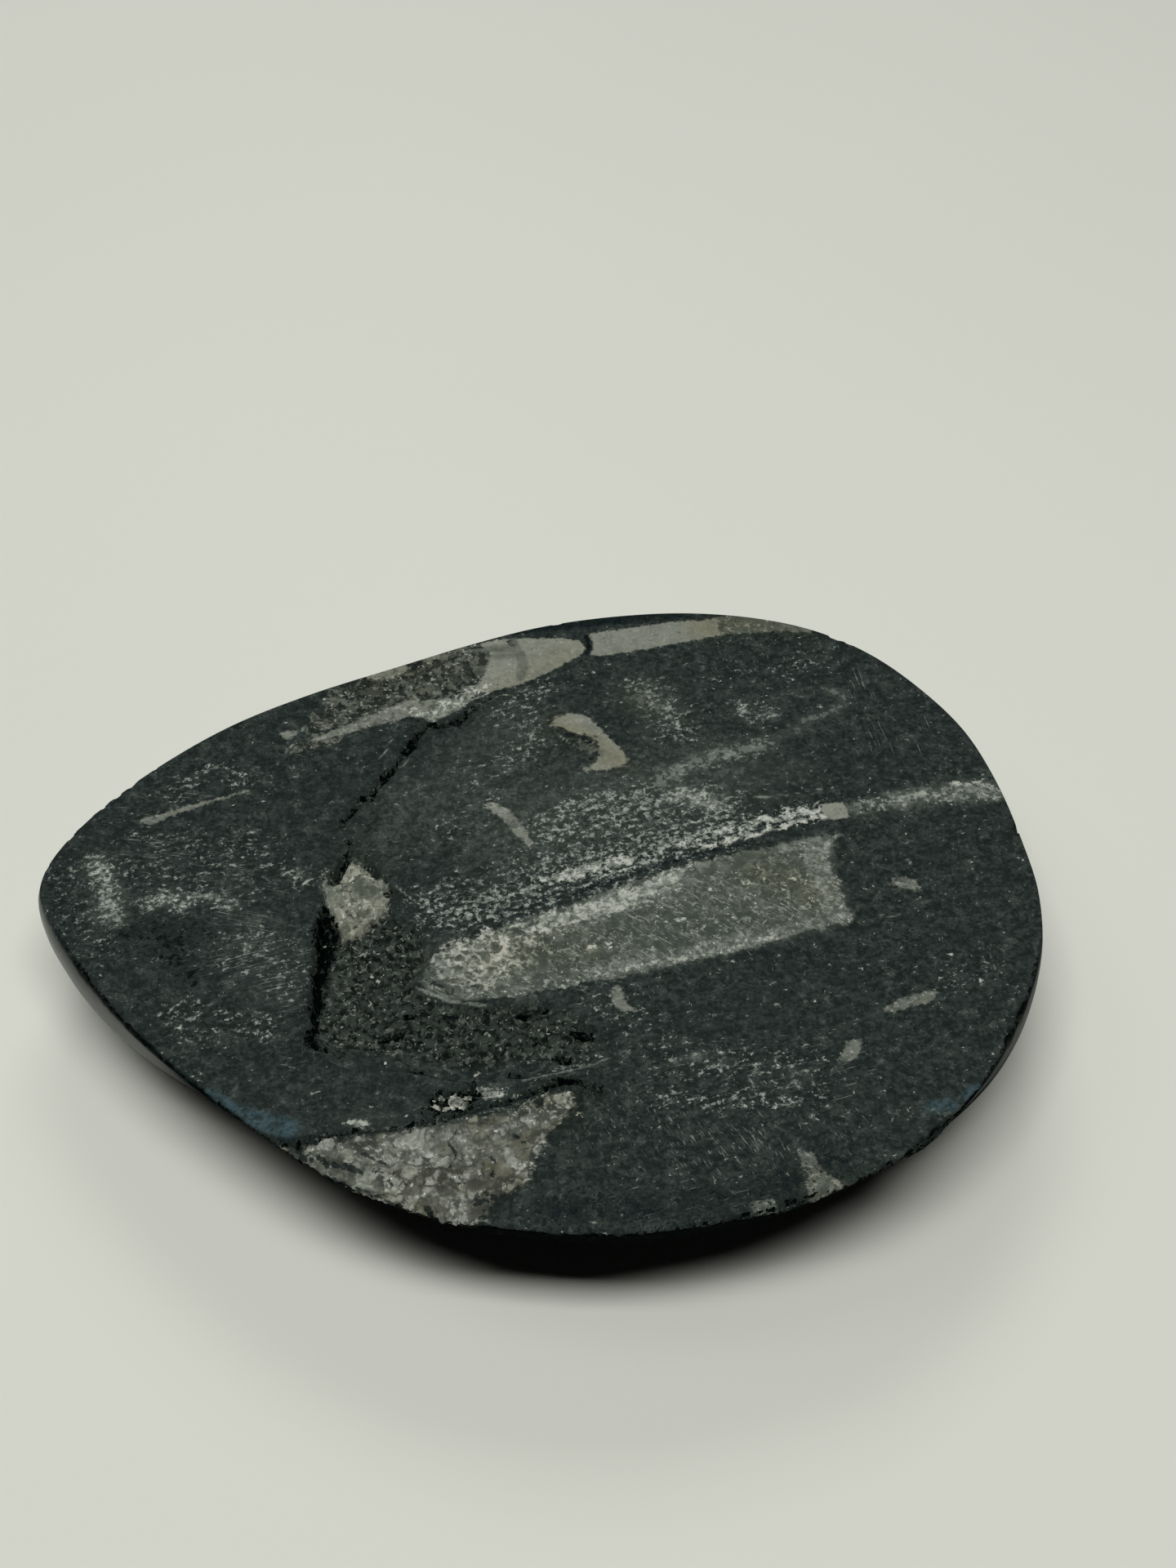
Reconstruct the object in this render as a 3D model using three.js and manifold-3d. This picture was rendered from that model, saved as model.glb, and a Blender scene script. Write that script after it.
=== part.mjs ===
// A polished orthoceras fossil: one teardrop pebble of dark limestone, ground
// flat on its upper face and left domed underneath.
//
// Millimetres, +Z up. The origin is on the surface that the stone lies on,
// under the middle of its box. +X runs from the pointed end to the round end
// and +Y towards the long edge with the broad calcite band.
// What is only colour in the stone (the sawn shells, veins and scratches) is
// not modelled here: this solid holds the outline, the dome, the broken
// hollow, the cracks, the pits, the crystals and the chipped rim.

import * as THREE from 'three';
import { mergeGeometries, mergeVertices } from 'three/addons/utils/BufferGeometryUtils.js';
import Module from 'manifold-3d';

// ---- driving dimensions -------------------------------------------------

const THICKNESS = 15;          // from the foot to the ground face
const GIRDLE_Z = 11.5;         // height of the widest section
const END_SWELL = 1.0;         // the ends stand out this far beyond the ground face
const SIDE_SWELL = 0.05;       // and the long sides only this far
const NEAR_LEAN = 5;           // under the rim the near side falls away by up to this
const NEAR_LEAN_RUN = 6.7;     // and most of that within this depth
const NEAR_LEAN_COMES = [-40, -12];  // along x, between these
const NEAR_LEAN_GOES = [6, 34];
const EDGE_BREAK = 0.3;        // worn corner between the ground face and the side
const FOOT_SCALE = 0.42;       // flat worn foot, as a share of the outline
const DOME_POWER = 2.3;        // 2 is a round dome, more is fuller
const DOME_RINGS = 8;
const OUTLINE_STEPS = 150;
const STONE_CENTRE = [5, 0];   // middle of the pebble's mass, in plan

// Edge of the ground face, anticlockwise from the round end.
const FACE_OUTLINE = [
  [50, -1], [49.3, 6], [47.9, 14], [45.4, 21.8], [41.3, 28.4], [36.4, 33.9],
  [30.4, 37.7], [23.4, 39.8], [15.5, 40.5], [7.2, 39.8], [-0.5, 38.1],
  [-8, 35.3], [-16.2, 31.6], [-25, 27.5], [-33, 22.8], [-39.6, 17.2],
  [-45.2, 10.9], [-48.8, 5], [-50, 0.4], [-48.9, -3.4], [-46.2, -8],
  [-42.2, -13.5], [-37.3, -19.2], [-31.4, -24.7], [-24.6, -30],
  [-16.8, -35.1], [-8.6, -38.5], [-0.5, -40.1], [8, -40.5], [16, -39.5],
  [23.5, -37.5], [30.6, -34.3], [37.2, -29.8], [42.5, -23.4],
  [46.5, -15.6], [49.2, -8],
];

// ---- plan outlines of the relief ----------------------------------------

// The broken hollow: deepest along its left ledge, running out to the right.
const HOLLOW = [
  [-21.6, -3.5], [-21.3, 1], [-19.8, 4.2], [-16.6, 3.2], [-14.6, -0.8],
  [-14.2, -4], [-11.6, -5.2], [-10.6, -9], [-11.6, -12], [-9.4, -14.2],
  [-5, -15], [0, -14.8], [4.6, -16.6], [7.4, -19.6], [6, -22.4],
  [0, -23.2], [-6, -24.4], [-13, -22.6], [-20.6, -20.6], [-21.8, -14],
];
const HOLLOW_DEPTH_LEFT = 1.3;
const HOLLOW_DEPTH_RIGHT = 0.55;

// The coarse calcite patch at the near rim, a little below the ground face.
const CALCITE_PATCH = [
  [-24, -31.2], [-17.5, -30.2], [-12, -29.6], [-6, -28.3], [-1.5, -26.9],
  [3.4, -25.2], [4.6, -26.6], [1.8, -29.2], [0.2, -31.5], [0, -34.5],
  [-2.6, -36.8], [-5.4, -40], [-12, -39.5], [-20, -35.5],
];
const PATCH_DEPTH = 0.45;

// Cracks and grooves: [x, y, width, depth] at each corner.
const UPPER_CRACK = [
  [-4.5, 28.4, 0.2, 0.1], [-7.6, 26.4, 0.9, 0.6], [-10.6, 23.6, 1.2, 0.9],
  [-13.6, 21, 1.2, 1.1], [-14.9, 18, 1.4, 1.3], [-16.4, 15.6, 1.2, 1.3],
  [-18.2, 12.6, 1.1, 1.2], [-19.6, 9.4, 0.9, 1.0], [-19.7, 6, 0.6, 0.6],
  [-20.2, 2.8, 0.5, 0.4],
];
const LEDGE_CRACK = [
  [-20.9, -2.6, 0.6, 1.2], [-21.4, -5.6, 1.3, 2.1], [-21, -9.6, 1.5, 2.3],
  [-20.8, -12.6, 1.1, 2.1], [-21.2, -15.4, 1.4, 2.2], [-20.5, -18, 1.1, 1.9],
  [-21, -20, 1.0, 1.4], [-19.8, -20.8, 0.4, 0.5],
];
const PATCH_GROOVE = [
  [-24.6, -31, 0.3, 0.3], [-20.4, -30, 0.9, 0.7], [-17.6, -29.1, 0.8, 0.7],
  [-12, -28.9, 0.8, 0.7], [-5.4, -27.3, 0.9, 0.8], [0, -25.7, 0.8, 0.7],
  [3.4, -24, 1.4, 1.1], [5.4, -24.6, 1.1, 0.8], [6.8, -26.2, 0.3, 0.3],
];

// Pits: [x, y, length, width, depth, heading in degrees].
const PITS = [
  [-13.4, -18.3, 2.6, 1.2, 1.5, 25], [-12, -16, 1.8, 0.8, 1.2, 20],
  [0.8, -15.6, 2.2, 1.0, 1.2, -20], [5.8, -18.6, 3.0, 1.0, 1.3, -25],
  [3, -21.3, 2.6, 1.0, 1.3, -10], [-1.6, -23.2, 2.2, 0.8, 1.0, -15],
  [-11, -22.8, 2.4, 0.7, 1.0, -8], [-6, -24.3, 1.8, 0.8, 1.0, 20],
  [3.8, -23.8, 1.9, 0.9, 1.4, 5], [-15, -0.8, 1.1, 0.9, 1.2, 0],
  [-1.4, -17, 2.0, 0.7, 1.2, 15], [6.4, -25, 2.2, 0.8, 0.9, -60],
  [-35.6, -7.6, 3.2, 1.6, 0.5, 60], [-33.4, -11.2, 2.6, 1.4, 0.5, -30],
  [-40.6, -5.8, 2.4, 0.9, 0.5, -30], [-37.6, -4.6, 2.2, 1.0, 0.4, 15],
];

// Runs of chips along the rim, where 0 to 1 goes once round it:
// [from, to, chips, length, bite, depth].
const RIM_CHIP_RUNS = [
  [0.563, 0.612, 7, 1.6, 0.6, 0.7], [0.61, 0.668, 7, 2.9, 0.85, 1.1],
  [0.735, 0.8, 8, 2.8, 0.55, 0.7], [0.8, 0.85, 6, 3.6, 1.2, 1.2],
  [0.868, 0.908, 6, 3.0, 0.75, 1.0], [0.93, 0.952, 3, 1.8, 0.6, 0.7],
  [0.024, 0.025, 1, 2.0, 0.9, 1.0], [0.148, 0.156, 2, 1.5, 0.45, 0.6],
  [0.27, 0.272, 1, 1.8, 0.5, 0.6],
];

// Calcite crystals: [x, y, size, depth of the top below the face, tilt, heading].
const CLUSTER_CRYSTALS = [
  [-17.6, -0.6, 3.2, 0.1, 6, 20], [-19.6, -1.4, 1.8, 0.25, 16, 80],
  [-18.4, 2.2, 2.2, 0.3, 12, 130], [-16.2, -2.8, 2.0, 0.3, 18, 200],
  [-18.2, -4.4, 2.0, 0.15, 14, 262], [-15.9, 1.0, 1.7, 0.35, 16, 320],
  [-20.2, -3.9, 1.3, 0.1, 20, 95], [-20.9, -0.2, 1.6, 0.15, 14, 60],
  [-20.6, 1.9, 1.2, 0.3, 18, 150], [-17.1, -5.5, 1.2, 0.2, 24, 10],
  [-19.1, -6, 1.3, 0.4, 24, 300], [-15.3, -1.7, 1.2, 0.4, 22, 240],
];
const WHITE_CRYSTALS = [
  [-9, -25.7, 1.3, 0.1, 20, 60], [-8, -26.4, 1.5, 0.05, 28, 140],
  [-6.9, -25.5, 1.3, 0.1, 22, 220], [-6, -26.4, 1.4, 0.1, 30, 330],
  [-7.2, -27.1, 1.0, 0.2, 20, 20],
];
const PATCH_CRYSTALS = [
  [-20.5, -32.4, 1.8, 0.15, 10, 30], [-16.8, -32.6, 2.4, 0.1, 8, 110],
  [-13.2, -33.8, 2.2, 0.12, 14, 200], [-10.8, -31.2, 2.4, 0.08, 8, 290],
  [-12.4, -36.2, 1.8, 0.2, 14, 50], [-8.6, -34.6, 2.7, 0.1, 10, 150],
  [-6.4, -30.6, 2.3, 0.1, 9, 240], [-4.6, -33.2, 2.2, 0.15, 14, 330],
  [-3.4, -29.8, 2.0, 0.1, 10, 80], [-1.8, -32, 1.8, 0.15, 16, 170],
  [-0.4, -28.6, 2.2, 0.1, 9, 260], [1.8, -27.4, 2.2, 0.08, 10, 350],
  [-6, -37, 2.0, 0.2, 12, 100], [-2.2, -35.2, 1.6, 0.25, 16, 190],
];
const CRYSTAL_ROOT = 2.6;      // how far each crystal runs into the stone
const CRYSTAL_SHEAR = 0.3;     // calcite breaks into leaning blocks

const STONE_MATERIAL = new THREE.MeshStandardMaterial({
  color: 0x3c4644, roughness: 0.5, metalness: 0, flatShading: true,
});

// ---- small helpers ------------------------------------------------------

// A repeatable random number from 0 to 1 for any whole seed.
function chance(seed) {
  const s = Math.sin(seed * 127.1 + 311.7) * 43758.5453;
  return s - Math.floor(s);
}

function polygonDistance(polygon, x, y) {
  // Distance to the nearest edge: positive inside, negative outside.
  let nearest = Infinity;
  let inside = false;
  polygon.forEach(([ax, ay], i) => {
    const [bx, by] = polygon[(i + 1) % polygon.length];
    const dx = bx - ax;
    const dy = by - ay;
    const along = ((x - ax) * dx + (y - ay) * dy) / (dx * dx + dy * dy);
    const t = THREE.MathUtils.clamp(along, 0, 1);
    nearest = Math.min(nearest, Math.hypot(x - ax - t * dx, y - ay - t * dy));
    const crosses = ay > y !== by > y && x < ((bx - ax) * (y - ay)) / (by - ay) + ax;
    if (crosses) inside = !inside;
  });
  return inside ? nearest : -nearest;
}

function geometryFrom(points, triangles) {
  const geometry = new THREE.BufferGeometry();
  geometry.setAttribute('position', new THREE.Float32BufferAttribute(points.flat(), 3));
  geometry.setIndex(triangles.flat());
  return geometry;
}

// Quads between two closed rings of equal length, lower ring first.
function band(lower, upper, count) {
  const triangles = [];
  for (let i = 0; i < count; i += 1) {
    const j = (i + 1) % count;
    triangles.push([lower + i, lower + j, upper + j], [lower + i, upper + j, upper + i]);
  }
  return triangles;
}

// ---- the pebble ---------------------------------------------------------

function faceCurve() {
  const corners = FACE_OUTLINE.map(([x, y]) => new THREE.Vector3(x, y, 0));
  return new THREE.CatmullRomCurve3(corners, true, 'catmullrom', 0.5);
}

// Each ring of the side: its height, how much of the swell it has, what it
// stands out besides, and its scale.
function pebbleProfile() {
  const rings = [];
  for (let k = 0; k <= DOME_RINGS; k += 1) {
    const t = k / DOME_RINGS;
    const scale = FOOT_SCALE + (1 - FOOT_SCALE) * Math.sin((t * Math.PI) / 2);
    const drop = (1 - scale ** DOME_POWER) ** (1 / DOME_POWER);
    const footDrop = (1 - FOOT_SCALE ** DOME_POWER) ** (1 / DOME_POWER);
    rings.push({ z: GIRDLE_Z * (1 - drop / footDrop), swell: 1, out: 0, scale });
  }
  const shoulder = THICKNESS - GIRDLE_Z;
  rings.push({ z: GIRDLE_Z + shoulder * 0.5, swell: 0.8, out: 0, scale: 1 });
  rings.push({ z: THICKNESS - EDGE_BREAK, swell: 0.15, out: 0, scale: 1 });
  rings.push({ z: THICKNESS, swell: 0, out: -EDGE_BREAK * 0.5, scale: 1 });
  return rings;
}

// How far the side falls in under the rim at p, this deep below the face.
function nearLean(p, depth) {
  const comes = THREE.MathUtils.smoothstep(p.x, ...NEAR_LEAN_COMES);
  const goes = THREE.MathUtils.smoothstep(p.x, ...NEAR_LEAN_GOES);
  const fall = NEAR_LEAN * (1 - Math.exp(-depth / NEAR_LEAN_RUN));
  return p.y < 0 ? fall * comes * (1 - goes) : 0;
}

function pebbleGeometry() {
  const curve = faceCurve();
  const points = [];
  const triangles = [];
  const rings = pebbleProfile();
  rings.forEach(({ z, swell, out, scale }) => {
    for (let i = 0; i < OUTLINE_STEPS; i += 1) {
      const u = i / OUTLINE_STEPS;
      const p = curve.getPoint(u);
      const along = curve.getTangent(u);
      const fullSwell = SIDE_SWELL + (END_SWELL - SIDE_SWELL) * along.y ** 2;
      const offset = out + fullSwell * swell - nearLean(p, THICKNESS - z);
      const x = p.x + along.y * offset;
      const y = p.y - along.x * offset;
      points.push([
        STONE_CENTRE[0] + (x - STONE_CENTRE[0]) * scale,
        STONE_CENTRE[1] + (y - STONE_CENTRE[1]) * scale,
        z,
      ]);
    }
  });
  for (let k = 0; k + 1 < rings.length; k += 1) {
    triangles.push(...band(k * OUTLINE_STEPS, (k + 1) * OUTLINE_STEPS, OUTLINE_STEPS));
  }
  const foot = points.push([...STONE_CENTRE, 0]) - 1;
  const face = points.push([...STONE_CENTRE, THICKNESS]) - 1;
  const top = (rings.length - 1) * OUTLINE_STEPS;
  for (let i = 0; i < OUTLINE_STEPS; i += 1) {
    const j = (i + 1) % OUTLINE_STEPS;
    triangles.push([foot, j, i], [face, top + i, top + j]);
  }
  return geometryFrom(points, triangles);
}

// ---- relief -------------------------------------------------------------

// A block that reaches down to THICKNESS - depthAt(x, y), for cutting a rough
// floor. Where depthAt is negative the block stays above the ground face.
function roughCutter(polygon, cell, depthAt) {
  const ABOVE = 1.2;
  const xs = polygon.map(([x]) => x);
  const ys = polygon.map(([, y]) => y);
  const left = Math.min(...xs) - cell;
  const near = Math.min(...ys) - cell;
  const columns = Math.ceil((Math.max(...xs) + cell - left) / cell);
  const rows = Math.ceil((Math.max(...ys) + cell - near) / cell);
  const floor = [];
  const roof = [];
  for (let r = 0; r <= rows; r += 1) {
    for (let c = 0; c <= columns; c += 1) {
      const seed = r * 97 + c;
      const x = left + (c + 0.6 * (chance(seed) - 0.5)) * cell;
      const y = near + (r + 0.6 * (chance(seed + 0.5) - 0.5)) * cell;
      floor.push([x, y, THICKNESS - depthAt(x, y, seed)]);
      roof.push([x, y, THICKNESS + ABOVE]);
    }
  }
  const wide = columns + 1;
  const lift = floor.length;
  const triangles = [];
  for (let r = 0; r < rows; r += 1) {
    for (let c = 0; c < columns; c += 1) {
      const a = r * wide + c;
      const [b, d, e] = [a + 1, a + wide, a + wide + 1];
      triangles.push([a, e, b], [a, d, e]);
      triangles.push([lift + a, lift + b, lift + e], [lift + a, lift + e, lift + d]);
    }
  }
  const edge = [];
  for (let c = 0; c < columns; c += 1) edge.push(c);
  for (let r = 0; r < rows; r += 1) edge.push(r * wide + columns);
  for (let c = columns; c > 0; c -= 1) edge.push(rows * wide + c);
  for (let r = rows; r > 0; r -= 1) edge.push(r * wide);
  edge.forEach((a, i) => {
    const b = edge[(i + 1) % edge.length];
    triangles.push([a, b, lift + b], [a, lift + b, lift + a]);
  });
  return geometryFrom([...floor, ...roof], triangles);
}

// Depth that fades in from a region's edge and stays just above the face
// outside it.
function fadedDepth(inside, full, slope) {
  return inside > 0 ? Math.min(full, 0.12 + inside * slope) : Math.max(-0.6, inside);
}

function hollowDepth(x, y, seed) {
  const inside = polygonDistance(HOLLOW, x, y);
  const across = THREE.MathUtils.clamp((x + 21) / 22, 0, 1);
  const full = THREE.MathUtils.lerp(HOLLOW_DEPTH_LEFT, HOLLOW_DEPTH_RIGHT, across);
  const slope = THREE.MathUtils.lerp(1.6, 0.45, across);
  const rough = inside > 0 ? 0.4 * (chance(seed + 0.25) - 0.5) : 0;
  return fadedDepth(inside, full, slope) + rough;
}

function patchDepth(x, y, seed) {
  const inside = polygonDistance(CALCITE_PATCH, x, y);
  const rough = inside > 0 ? 0.45 * (chance(seed + 0.75) - 0.5) : 0;
  return fadedDepth(inside, PATCH_DEPTH, 0.5) + rough;
}

// A V-shaped cutter along a run of [x, y, width, depth] corners.
function crackCutter(corners) {
  const ABOVE = 0.5;
  const points = [];
  const triangles = [];
  corners.forEach(([x, y, width, depth], i) => {
    const [ax, ay] = corners[Math.max(i - 1, 0)];
    const [bx, by] = corners[Math.min(i + 1, corners.length - 1)];
    const length = Math.hypot(bx - ax, by - ay);
    const side = [-(by - ay) / length, (bx - ax) / length];
    const flare = (width / 2) * (1 + ABOVE / depth);
    points.push([x - side[0] * flare, y - side[1] * flare, THICKNESS + ABOVE]);
    points.push([x, y, THICKNESS - depth]);
    points.push([x + side[0] * flare, y + side[1] * flare, THICKNESS + ABOVE]);
  });
  for (let i = 0; i + 1 < corners.length; i += 1) {
    const a = i * 3;
    for (let k = 0; k < 3; k += 1) {
      const b = a + ((k + 1) % 3);
      triangles.push([a + k, b, b + 3], [a + k, b + 3, a + k + 3]);
    }
  }
  const last = (corners.length - 1) * 3;
  triangles.push([0, 2, 1], [last, last + 1, last + 2]);
  return geometryFrom(points, triangles);
}

// An uneven lump with flat facets, used to cut a pit or a chip.
function lump(length, width, height, seed) {
  const geometry = new THREE.IcosahedronGeometry(1, 0);
  geometry.deleteAttribute('normal');
  geometry.deleteAttribute('uv');
  const merged = mergeVertices(geometry, 1e-4);
  const position = merged.attributes.position;
  for (let i = 0; i < position.count; i += 1) {
    const swell = 0.8 + 0.4 * chance(seed * 31 + i);
    position.setXYZ(
      i,
      position.getX(i) * (length / 2) * swell,
      position.getY(i) * (width / 2) * swell,
      position.getZ(i) * height * swell,
    );
  }
  return merged;
}

function pitCutters() {
  return PITS.map(([x, y, length, width, depth, heading], i) => {
    const cutter = lump(length, width, depth, i + 1);
    cutter.rotateZ(THREE.MathUtils.degToRad(heading));
    const hollowHere = polygonDistance(HOLLOW, x, y) > 0.4 ? HOLLOW_DEPTH_RIGHT * 0.8 : 0;
    return cutter.translate(x, y, THICKNESS - hollowHere);
  });
}

function rimChipCutters() {
  const curve = faceCurve();
  return RIM_CHIP_RUNS.flatMap(([from, to, chips, length, bite, depth], run) => (
    Array.from({ length: chips }, (_, i) => {
      const seed = run * 20 + i + 50;
      const step = (to - from) / chips;
      const u = from + (i + 0.5 + 0.6 * (chance(seed) - 0.5)) * step;
      const size = 0.65 + 0.7 * chance(seed + 0.3);
      const p = curve.getPoint(u);
      const along = curve.getTangent(u);
      const cutter = lump(length * size, bite * 2 * size, depth * size, seed);
      cutter.rotateZ(Math.atan2(along.y, along.x) + 0.3 * (chance(seed + 0.6) - 0.5));
      return cutter.translate(p.x, p.y, THICKNESS);
    })
  ));
}

// A leaning calcite block whose top face is tilted.
function crystal([x, y, size, below, tilt, heading]) {
  const block = new THREE.BoxGeometry(size, size * 0.75, CRYSTAL_ROOT);
  block.translate(0, 0, -CRYSTAL_ROOT / 2);
  block.applyMatrix4(new THREE.Matrix4().makeShear(0, 0, 0, 0, CRYSTAL_SHEAR, 0));
  block.rotateY(THREE.MathUtils.degToRad(tilt));
  block.rotateZ(THREE.MathUtils.degToRad(heading));
  return block.translate(x, y, THICKNESS - below);
}

// ---- joining and cutting ------------------------------------------------

const wasm = await Module();
wasm.setup();

function solidFrom(geometry) {
  const plain = geometry.clone();
  plain.deleteAttribute('normal');
  plain.deleteAttribute('uv');
  const merged = mergeVertices(plain, 1e-4);
  return new wasm.Manifold(new wasm.Mesh({
    numProp: 3,
    vertProperties: new Float32Array(merged.attributes.position.array),
    triVerts: new Uint32Array(merged.index.array),
  }));
}

function geometryOf(solid) {
  const mesh = solid.getMesh();
  const geometry = new THREE.BufferGeometry();
  geometry.setAttribute('position', new THREE.BufferAttribute(mesh.vertProperties, 3));
  geometry.setIndex(new THREE.BufferAttribute(mesh.triVerts, 1));
  return geometry;
}

function fossilGeometry() {
  const cutters = [
    roughCutter(HOLLOW, 1.35, hollowDepth),
    roughCutter(CALCITE_PATCH, 1.5, patchDepth),
    crackCutter(UPPER_CRACK),
    crackCutter(LEDGE_CRACK),
    crackCutter(PATCH_GROOVE),
    ...pitCutters(),
    ...rimChipCutters(),
  ];
  const crystals = [...CLUSTER_CRYSTALS, ...WHITE_CRYSTALS, ...PATCH_CRYSTALS];
  const pebble = solidFrom(pebbleGeometry());
  let stone = pebble;
  for (const cutter of cutters) stone = stone.subtract(solidFrom(cutter));
  for (const row of crystals) stone = stone.add(solidFrom(crystal(row)));
  return geometryOf(stone.intersect(pebble));
}

const fossil = new THREE.Mesh(fossilGeometry(), STONE_MATERIAL);
fossil.name = 'fossil_stone';

const group = new THREE.Group();
group.add(fossil);

export default group;
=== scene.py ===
"""The looks of an orthoceras fossil: a teardrop pebble of dark limestone with a flat ground face.

Plan sizes are in millimetres, +X towards the round end and +Y towards the long edge that carries
the broad calcite band. The finished meshes are in metres.
"""
import math

import bpy
import mathutils
import numpy as np
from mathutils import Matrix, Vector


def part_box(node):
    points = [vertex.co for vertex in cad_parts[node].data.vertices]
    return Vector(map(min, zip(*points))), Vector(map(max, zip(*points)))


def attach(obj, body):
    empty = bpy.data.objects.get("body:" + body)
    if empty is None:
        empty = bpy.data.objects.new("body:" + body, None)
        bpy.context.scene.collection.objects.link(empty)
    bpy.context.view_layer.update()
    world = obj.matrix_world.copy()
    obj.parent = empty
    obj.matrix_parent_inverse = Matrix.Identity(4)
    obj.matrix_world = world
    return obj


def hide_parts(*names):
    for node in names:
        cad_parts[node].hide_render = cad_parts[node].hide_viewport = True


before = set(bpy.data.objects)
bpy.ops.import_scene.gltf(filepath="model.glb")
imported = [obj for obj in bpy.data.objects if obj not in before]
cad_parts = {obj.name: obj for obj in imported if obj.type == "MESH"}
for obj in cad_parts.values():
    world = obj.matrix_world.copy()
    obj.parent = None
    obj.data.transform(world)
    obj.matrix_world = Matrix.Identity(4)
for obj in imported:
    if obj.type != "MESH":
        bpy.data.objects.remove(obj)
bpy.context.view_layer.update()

# ---- driving sizes -----------------------------------------------------------

MM = 0.001
STONE_LOW, STONE_HIGH = (np.array(corner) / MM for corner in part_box("fossil_stone"))
FACE_Z = STONE_HIGH[2]        # the ground face
GIRDLE_Z = FACE_Z - 3.5       # the widest section
END_SWELL = 0.7               # the left end stands out this far beyond the ground face
RIGHT_SWELL = 0.4             # the right end this far
SIDE_SWELL = 0.05             # and the long sides only this far
NEAR_LEAN = 4.6               # under the rim the near side falls away by up to this
NEAR_LEAN_RUN = 6.7           # and most of that within this depth
FOOT_SCALE = 0.42
DOME_POWER = 2.3
STONE_CENTRE = np.array([5.0, 0.0])
UNDER_DROP = 40               # added to depths on the underside, out of reach of the rim's marks
FACE_CELLS = 264              # cells across the ground face, each way
RIM_STEPS = 40                # points on the rim from one corner of its outline to the next
DEEPEST_CHIP = 1.2            # no chip pushes the surface back further

# Edge of the ground face, anticlockwise from the round end.
FACE_OUTLINE = [
    (50.4, -1), (49.7, 6), (48.2, 14.1), (45.6, 21.9), (41.4, 28.5), (36.4, 33.9),
    (30.4, 37.7), (23.4, 39.8), (15.5, 40.5), (7.2, 39.8), (-0.5, 38.1),
    (-8, 35.3), (-16.2, 31.6), (-25, 27.5), (-33, 22.8), (-39.6, 17.2),
    (-45.2, 10.9), (-48.8, 5), (-50, 0.4), (-48.9, -3.4), (-46.2, -8),
    (-42.2, -13.5), (-37.3, -19.2), (-31.4, -24.7), (-24.6, -30),
    (-16.8, -35.1), (-8.6, -38.5), (-0.5, -40.1), (8, -40.5), (16, -39.5),
    (23.5, -37.5), (30.6, -34.3), (37.2, -29.8), (42.5, -23.4),
    (46.8, -15.7), (49.6, -8.1),
]

# ---- relief of the ground face, in plan --------------------------------------

HOLLOW = [
    (-21.6, -3.5), (-21.3, 1), (-19.8, 4.2), (-16.6, 3.2), (-14.6, -0.8),
    (-14.2, -4), (-11.6, -5.2), (-10.6, -9), (-11.6, -12), (-9.4, -14.2),
    (-5, -15), (0, -14.8), (4.6, -16.6), (7.4, -19.6), (6, -22.4),
    (0, -23.2), (-6, -24.4), (-13, -22.6), (-20.6, -20.6), (-21.8, -14),
]
CALCITE_PATCH = [
    (-24, -31.2), (-17.5, -30.2), (-12, -29.6), (-6, -28.3), (-1.5, -26.9),
    (3.4, -25.2), (4.6, -26.6), (1.8, -29.2), (0.2, -31.5), (0, -34.5),
    (-2.6, -36.8), (-5.4, -40), (-12, -39.5), (-20, -35.5),
]
CRYSTAL_CLUSTER = [
    (-21.7, 0.6), (-20.5, 0.5), (-19.7, 2.2), (-19.3, 3.6), (-18.2, 3.3),
    (-16.8, 1.9), (-15.5, 0.7), (-14.6, -0.8), (-14.9, -2.7), (-15.9, -4.3),
    (-17, -5.4), (-18, -6.4), (-19.1, -6.8), (-19.7, -5.2), (-20.5, -4.7),
    (-20.7, -3), (-21.1, -1.4),
]
# Cracks: (x, y, width, depth) at each corner.
UPPER_CRACK = [
    (-4.5, 27.6, 0.2, 0.1), (-7, 25.6, 0.5, 0.3), (-8.6, 23.6, 1.1, 0.4),
    (-10.4, 22.6, 0.9, 0.4), (-12.2, 22.4, 0.5, 0.3), (-13.2, 21, 0.9, 0.5),
    (-13.9, 19.4, 1.4, 0.8), (-14.8, 17.6, 0.6, 0.4), (-15.6, 16, 0.8, 0.6),
    (-16.4, 14.8, 1.2, 0.8), (-17.2, 13.2, 0.6, 0.5), (-17.7, 12.1, 1.3, 0.8),
    (-18.9, 11.4, 0.7, 0.6), (-19.3, 9.9, 0.8, 0.6), (-20.4, 8.5, 0.6, 0.5),
    (-19.6, 6.8, 0.3, 0.1), (-19.2, 4.6, 0.7, 0.4), (-20.1, 2.4, 0.4, 0.3),
    (-20.4, 0.9, 0.7, 0.7),
]
LEDGE_CRACK = [
    (-21, -2.6, 0.5, 1.0), (-21, -4.2, 1.3, 1.6), (-20.9, -5.8, 1.9, 2.1),
    (-20.9, -7.6, 1.7, 1.9), (-20.8, -9.4, 1.1, 2.0), (-21.1, -11.2, 1.0, 1.7),
    (-21.2, -12.8, 0.7, 1.5), (-20.9, -14.2, 1.0, 1.8), (-21.3, -15.6, 0.8, 1.6),
    (-20.9, -17.2, 0.4, 1.2), (-21.3, -18.6, 0.8, 1.2), (-20.9, -19.6, 1.2, 1.0),
    (-19.9, -20.2, 0.5, 0.4), (-18.8, -20.7, 0.2, 0.2),
]
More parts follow.
